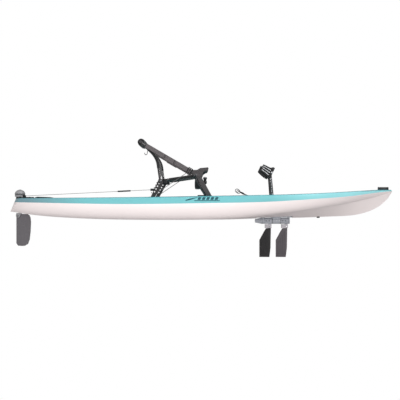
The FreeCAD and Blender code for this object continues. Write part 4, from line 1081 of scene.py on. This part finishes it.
class BOAT_OT_small_fittings(bpy.types.Operator):
    """Screws on the bow handle and sockets, the pad under the handle, and a grey cap on the steering knob,
    a painted highlight on top of the black knob.
    """
    bl_idname = "boat.small_fittings"
    bl_label = "Small fittings"
    bl_options = {"REGISTER", "UNDO"}

    def execute(self, context):
        bm = bmesh.new()
        low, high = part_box("bow_handle")
        for x in (low[0] + 0.0065, high[0] - 0.0065):
            add_bolt(bm, (x, 0, high[2] - 0.0008), (0, 0, 1), 0.0042, 0.0022)
        for x, z in ((-0.411, 0.1995), (0.064, 0.208)):
            for side in (-1, 1):
                for dx in (-0.024, 0.024):
                    add_bolt(bm, (x + dx, side * 0.238, z), (0, 0, 1), 0.0034, 0.0018)
        piece("deck_screws", bm, "stainless", "hull")
        pad = bmesh.new()
        pad_top = low[2] + 0.62 * (high[2] - low[2])
        add_block(pad, (low[0] + 0.012, -0.014, low[2]), (high[0] - 0.012, 0.014, pad_top), 0.003, 3)
        piece("bow_handle_pad", pad, "soft_black", "hull")
        knob_low, knob_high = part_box("steering_knob")
        x = (knob_low[0] + knob_high[0]) / 2
        y = (knob_low[1] + knob_high[1]) / 2
        # Grey cap on top of the black knob: a painted highlight.
        cap = bmesh.new()
        add_turned(cap, (x, y, knob_high[2] - 0.012), (0, 0, 1),
                   [(0.015, 0.0), (0.0185, 0.0005), (0.019, 0.003), (0.017, 0.008), (0.01, 0.0125),
                    (0.0, 0.0135)], 32)
        piece("steering_knob_highlight_cap", cap, "head_grey", "steering")
        return {"FINISHED"}


FLOOR_HEIGHT = -0.62
CAMERA_PLACE = (-0.0123, -5.0, 0.1726)
CAMERA_LENS = 51.1


class BOAT_OT_studio(bpy.types.Operator):
    """Pale floor, soft lights and the side camera."""
    bl_idname = "boat.studio"
    bl_label = "Studio"
    bl_options = {"REGISTER", "UNDO"}

    def execute(self, context):
        scene = bpy.context.scene
        bm = bmesh.new()
        bmesh.ops.create_grid(bm, x_segments=1, y_segments=1, size=30.0)
        bmesh.ops.translate(bm, vec=(0, 0, FLOOR_HEIGHT), verts=bm.verts[:])
        mesh = bpy.data.meshes.new("studio_floor")
        bm.to_mesh(mesh)
        bm.free()
        floor = bpy.data.objects.new("studio_floor", mesh)
        scene.collection.objects.link(floor)
        paper, tree, shader, coords = open_material("studio_paper")
        tone = mix_colour(tree, noise(tree, coords, 3.0), (0.52, 0.51, 0.515), (0.56, 0.55, 0.555))
        tree.links.new(tone, shader.inputs["Base Color"])
        shader.inputs["Roughness"].default_value = 0.9
        glow = tree.nodes.new("ShaderNodeEmission")
        glow.inputs["Color"].default_value = (1.0, 1.0, 1.0, 1.0)
        seen = tree.nodes.new("ShaderNodeMixShader")
        tree.links.new(tree.nodes.new("ShaderNodeLightPath").outputs["Is Camera Ray"], seen.inputs[0])
        tree.links.new(shader.outputs[0], seen.inputs[1])
        tree.links.new(glow.outputs[0], seen.inputs[2])
        tree.links.new(seen.outputs[0], tree.nodes["Material Output"].inputs["Surface"])
        mesh.materials.append(paper)
        world = bpy.data.worlds.new("studio_world")
        scene.world = world
        world.use_nodes = True
        sky = world.node_tree
        backdrop = sky.nodes["Background"]
        backdrop.inputs["Color"].default_value = (1.0, 1.0, 1.0, 1.0)
        rays = sky.nodes.new("ShaderNodeLightPath")
        sky.links.new(remap(sky, rays.outputs["Is Camera Ray"], 0.0, 1.0, 0.5, 1.0),
                      backdrop.inputs["Strength"])
        for name, energy, size, spot, aim in (
                ("top_soft", 48.0, (4.0, 0.7), (0.7, -1.3, 3.0), (0.3, 0.0, 0.1)),
                ("front_soft", 198.0, (6.0, 1.6), (-0.3, -5.2, 0.2), (0.0, 0.0, 0.1)),
                ("side_strip", 75.0, (0.35, 3.0), (3.0, -2.9, 0.9), (0.0, 0.0, 0.4))):
            light = bpy.data.lights.new(name, "AREA")
            light.shape = "RECTANGLE"
            light.size, light.size_y = size
            light.energy = energy
            lamp = bpy.data.objects.new(name, light)
            scene.collection.objects.link(lamp)
            lamp.location = spot
            lamp.visible_glossy = name != "front_soft"
            lamp.visible_diffuse = name != "side_strip"
            lamp.rotation_euler = (Vector(aim) - Vector(spot)).to_track_quat("-Z", "Y").to_euler()
        camera = bpy.data.cameras.new("side_camera")
        camera.sensor_width = 36.0
        camera.lens = CAMERA_LENS
        holder = bpy.data.objects.new("side_camera", camera)
        holder.location = CAMERA_PLACE
        holder.rotation_euler = (math.radians(90), 0.0, 0.0)
        scene.collection.objects.link(holder)
        scene.camera = holder
        scene.view_settings.view_transform = "Standard"
        return {"FINISHED"}


OPERATORS = (
    BOAT_OT_studio, BOAT_OT_cords, BOAT_OT_shells, BOAT_OT_moulded_parts, BOAT_OT_deck_dressing,
    BOAT_OT_seat_cloth, BOAT_OT_back_roll,
    BOAT_OT_recline_straps, BOAT_OT_seat_fittings, BOAT_OT_rudder_details, BOAT_OT_drive_details,
    BOAT_OT_crank_details, BOAT_OT_small_fittings,
)


class BOAT_PT_builder(bpy.types.Panel):
    """Sidebar list of the boat's settings and steps."""
    bl_idname = "BOAT_PT_builder"
    bl_label = "Pedal Boat"
    bl_space_type = "VIEW_3D"
    bl_region_type = "UI"
    bl_category = "Boat"

    def draw(self, context):
        layout = self.layout
        for group in (context.scene.boat_sizes, context.scene.boat_colours):
            column = layout.column(align=True)
            for name in group.__annotations__:
                column.prop(group, name)
        for operator in OPERATORS:
            layout.operator(operator.bl_idname)


CLASSES = (BoatSizes, BoatColours) + OPERATORS + (BOAT_PT_builder,)


def register():
    for cls in CLASSES:
        bpy.utils.register_class(cls)
    bpy.types.Scene.boat_sizes = bpy.props.PointerProperty(type=BoatSizes)
    bpy.types.Scene.boat_colours = bpy.props.PointerProperty(type=BoatColours)


def unregister():
    del bpy.types.Scene.boat_colours
    del bpy.types.Scene.boat_sizes
    for cls in reversed(CLASSES):
        bpy.utils.unregister_class(cls)


def main():
    register()
    for operator in OPERATORS:
        group, action = operator.bl_idname.split(".")
        getattr(getattr(bpy.ops, group), action)()


if __name__ == "__main__":
    main()
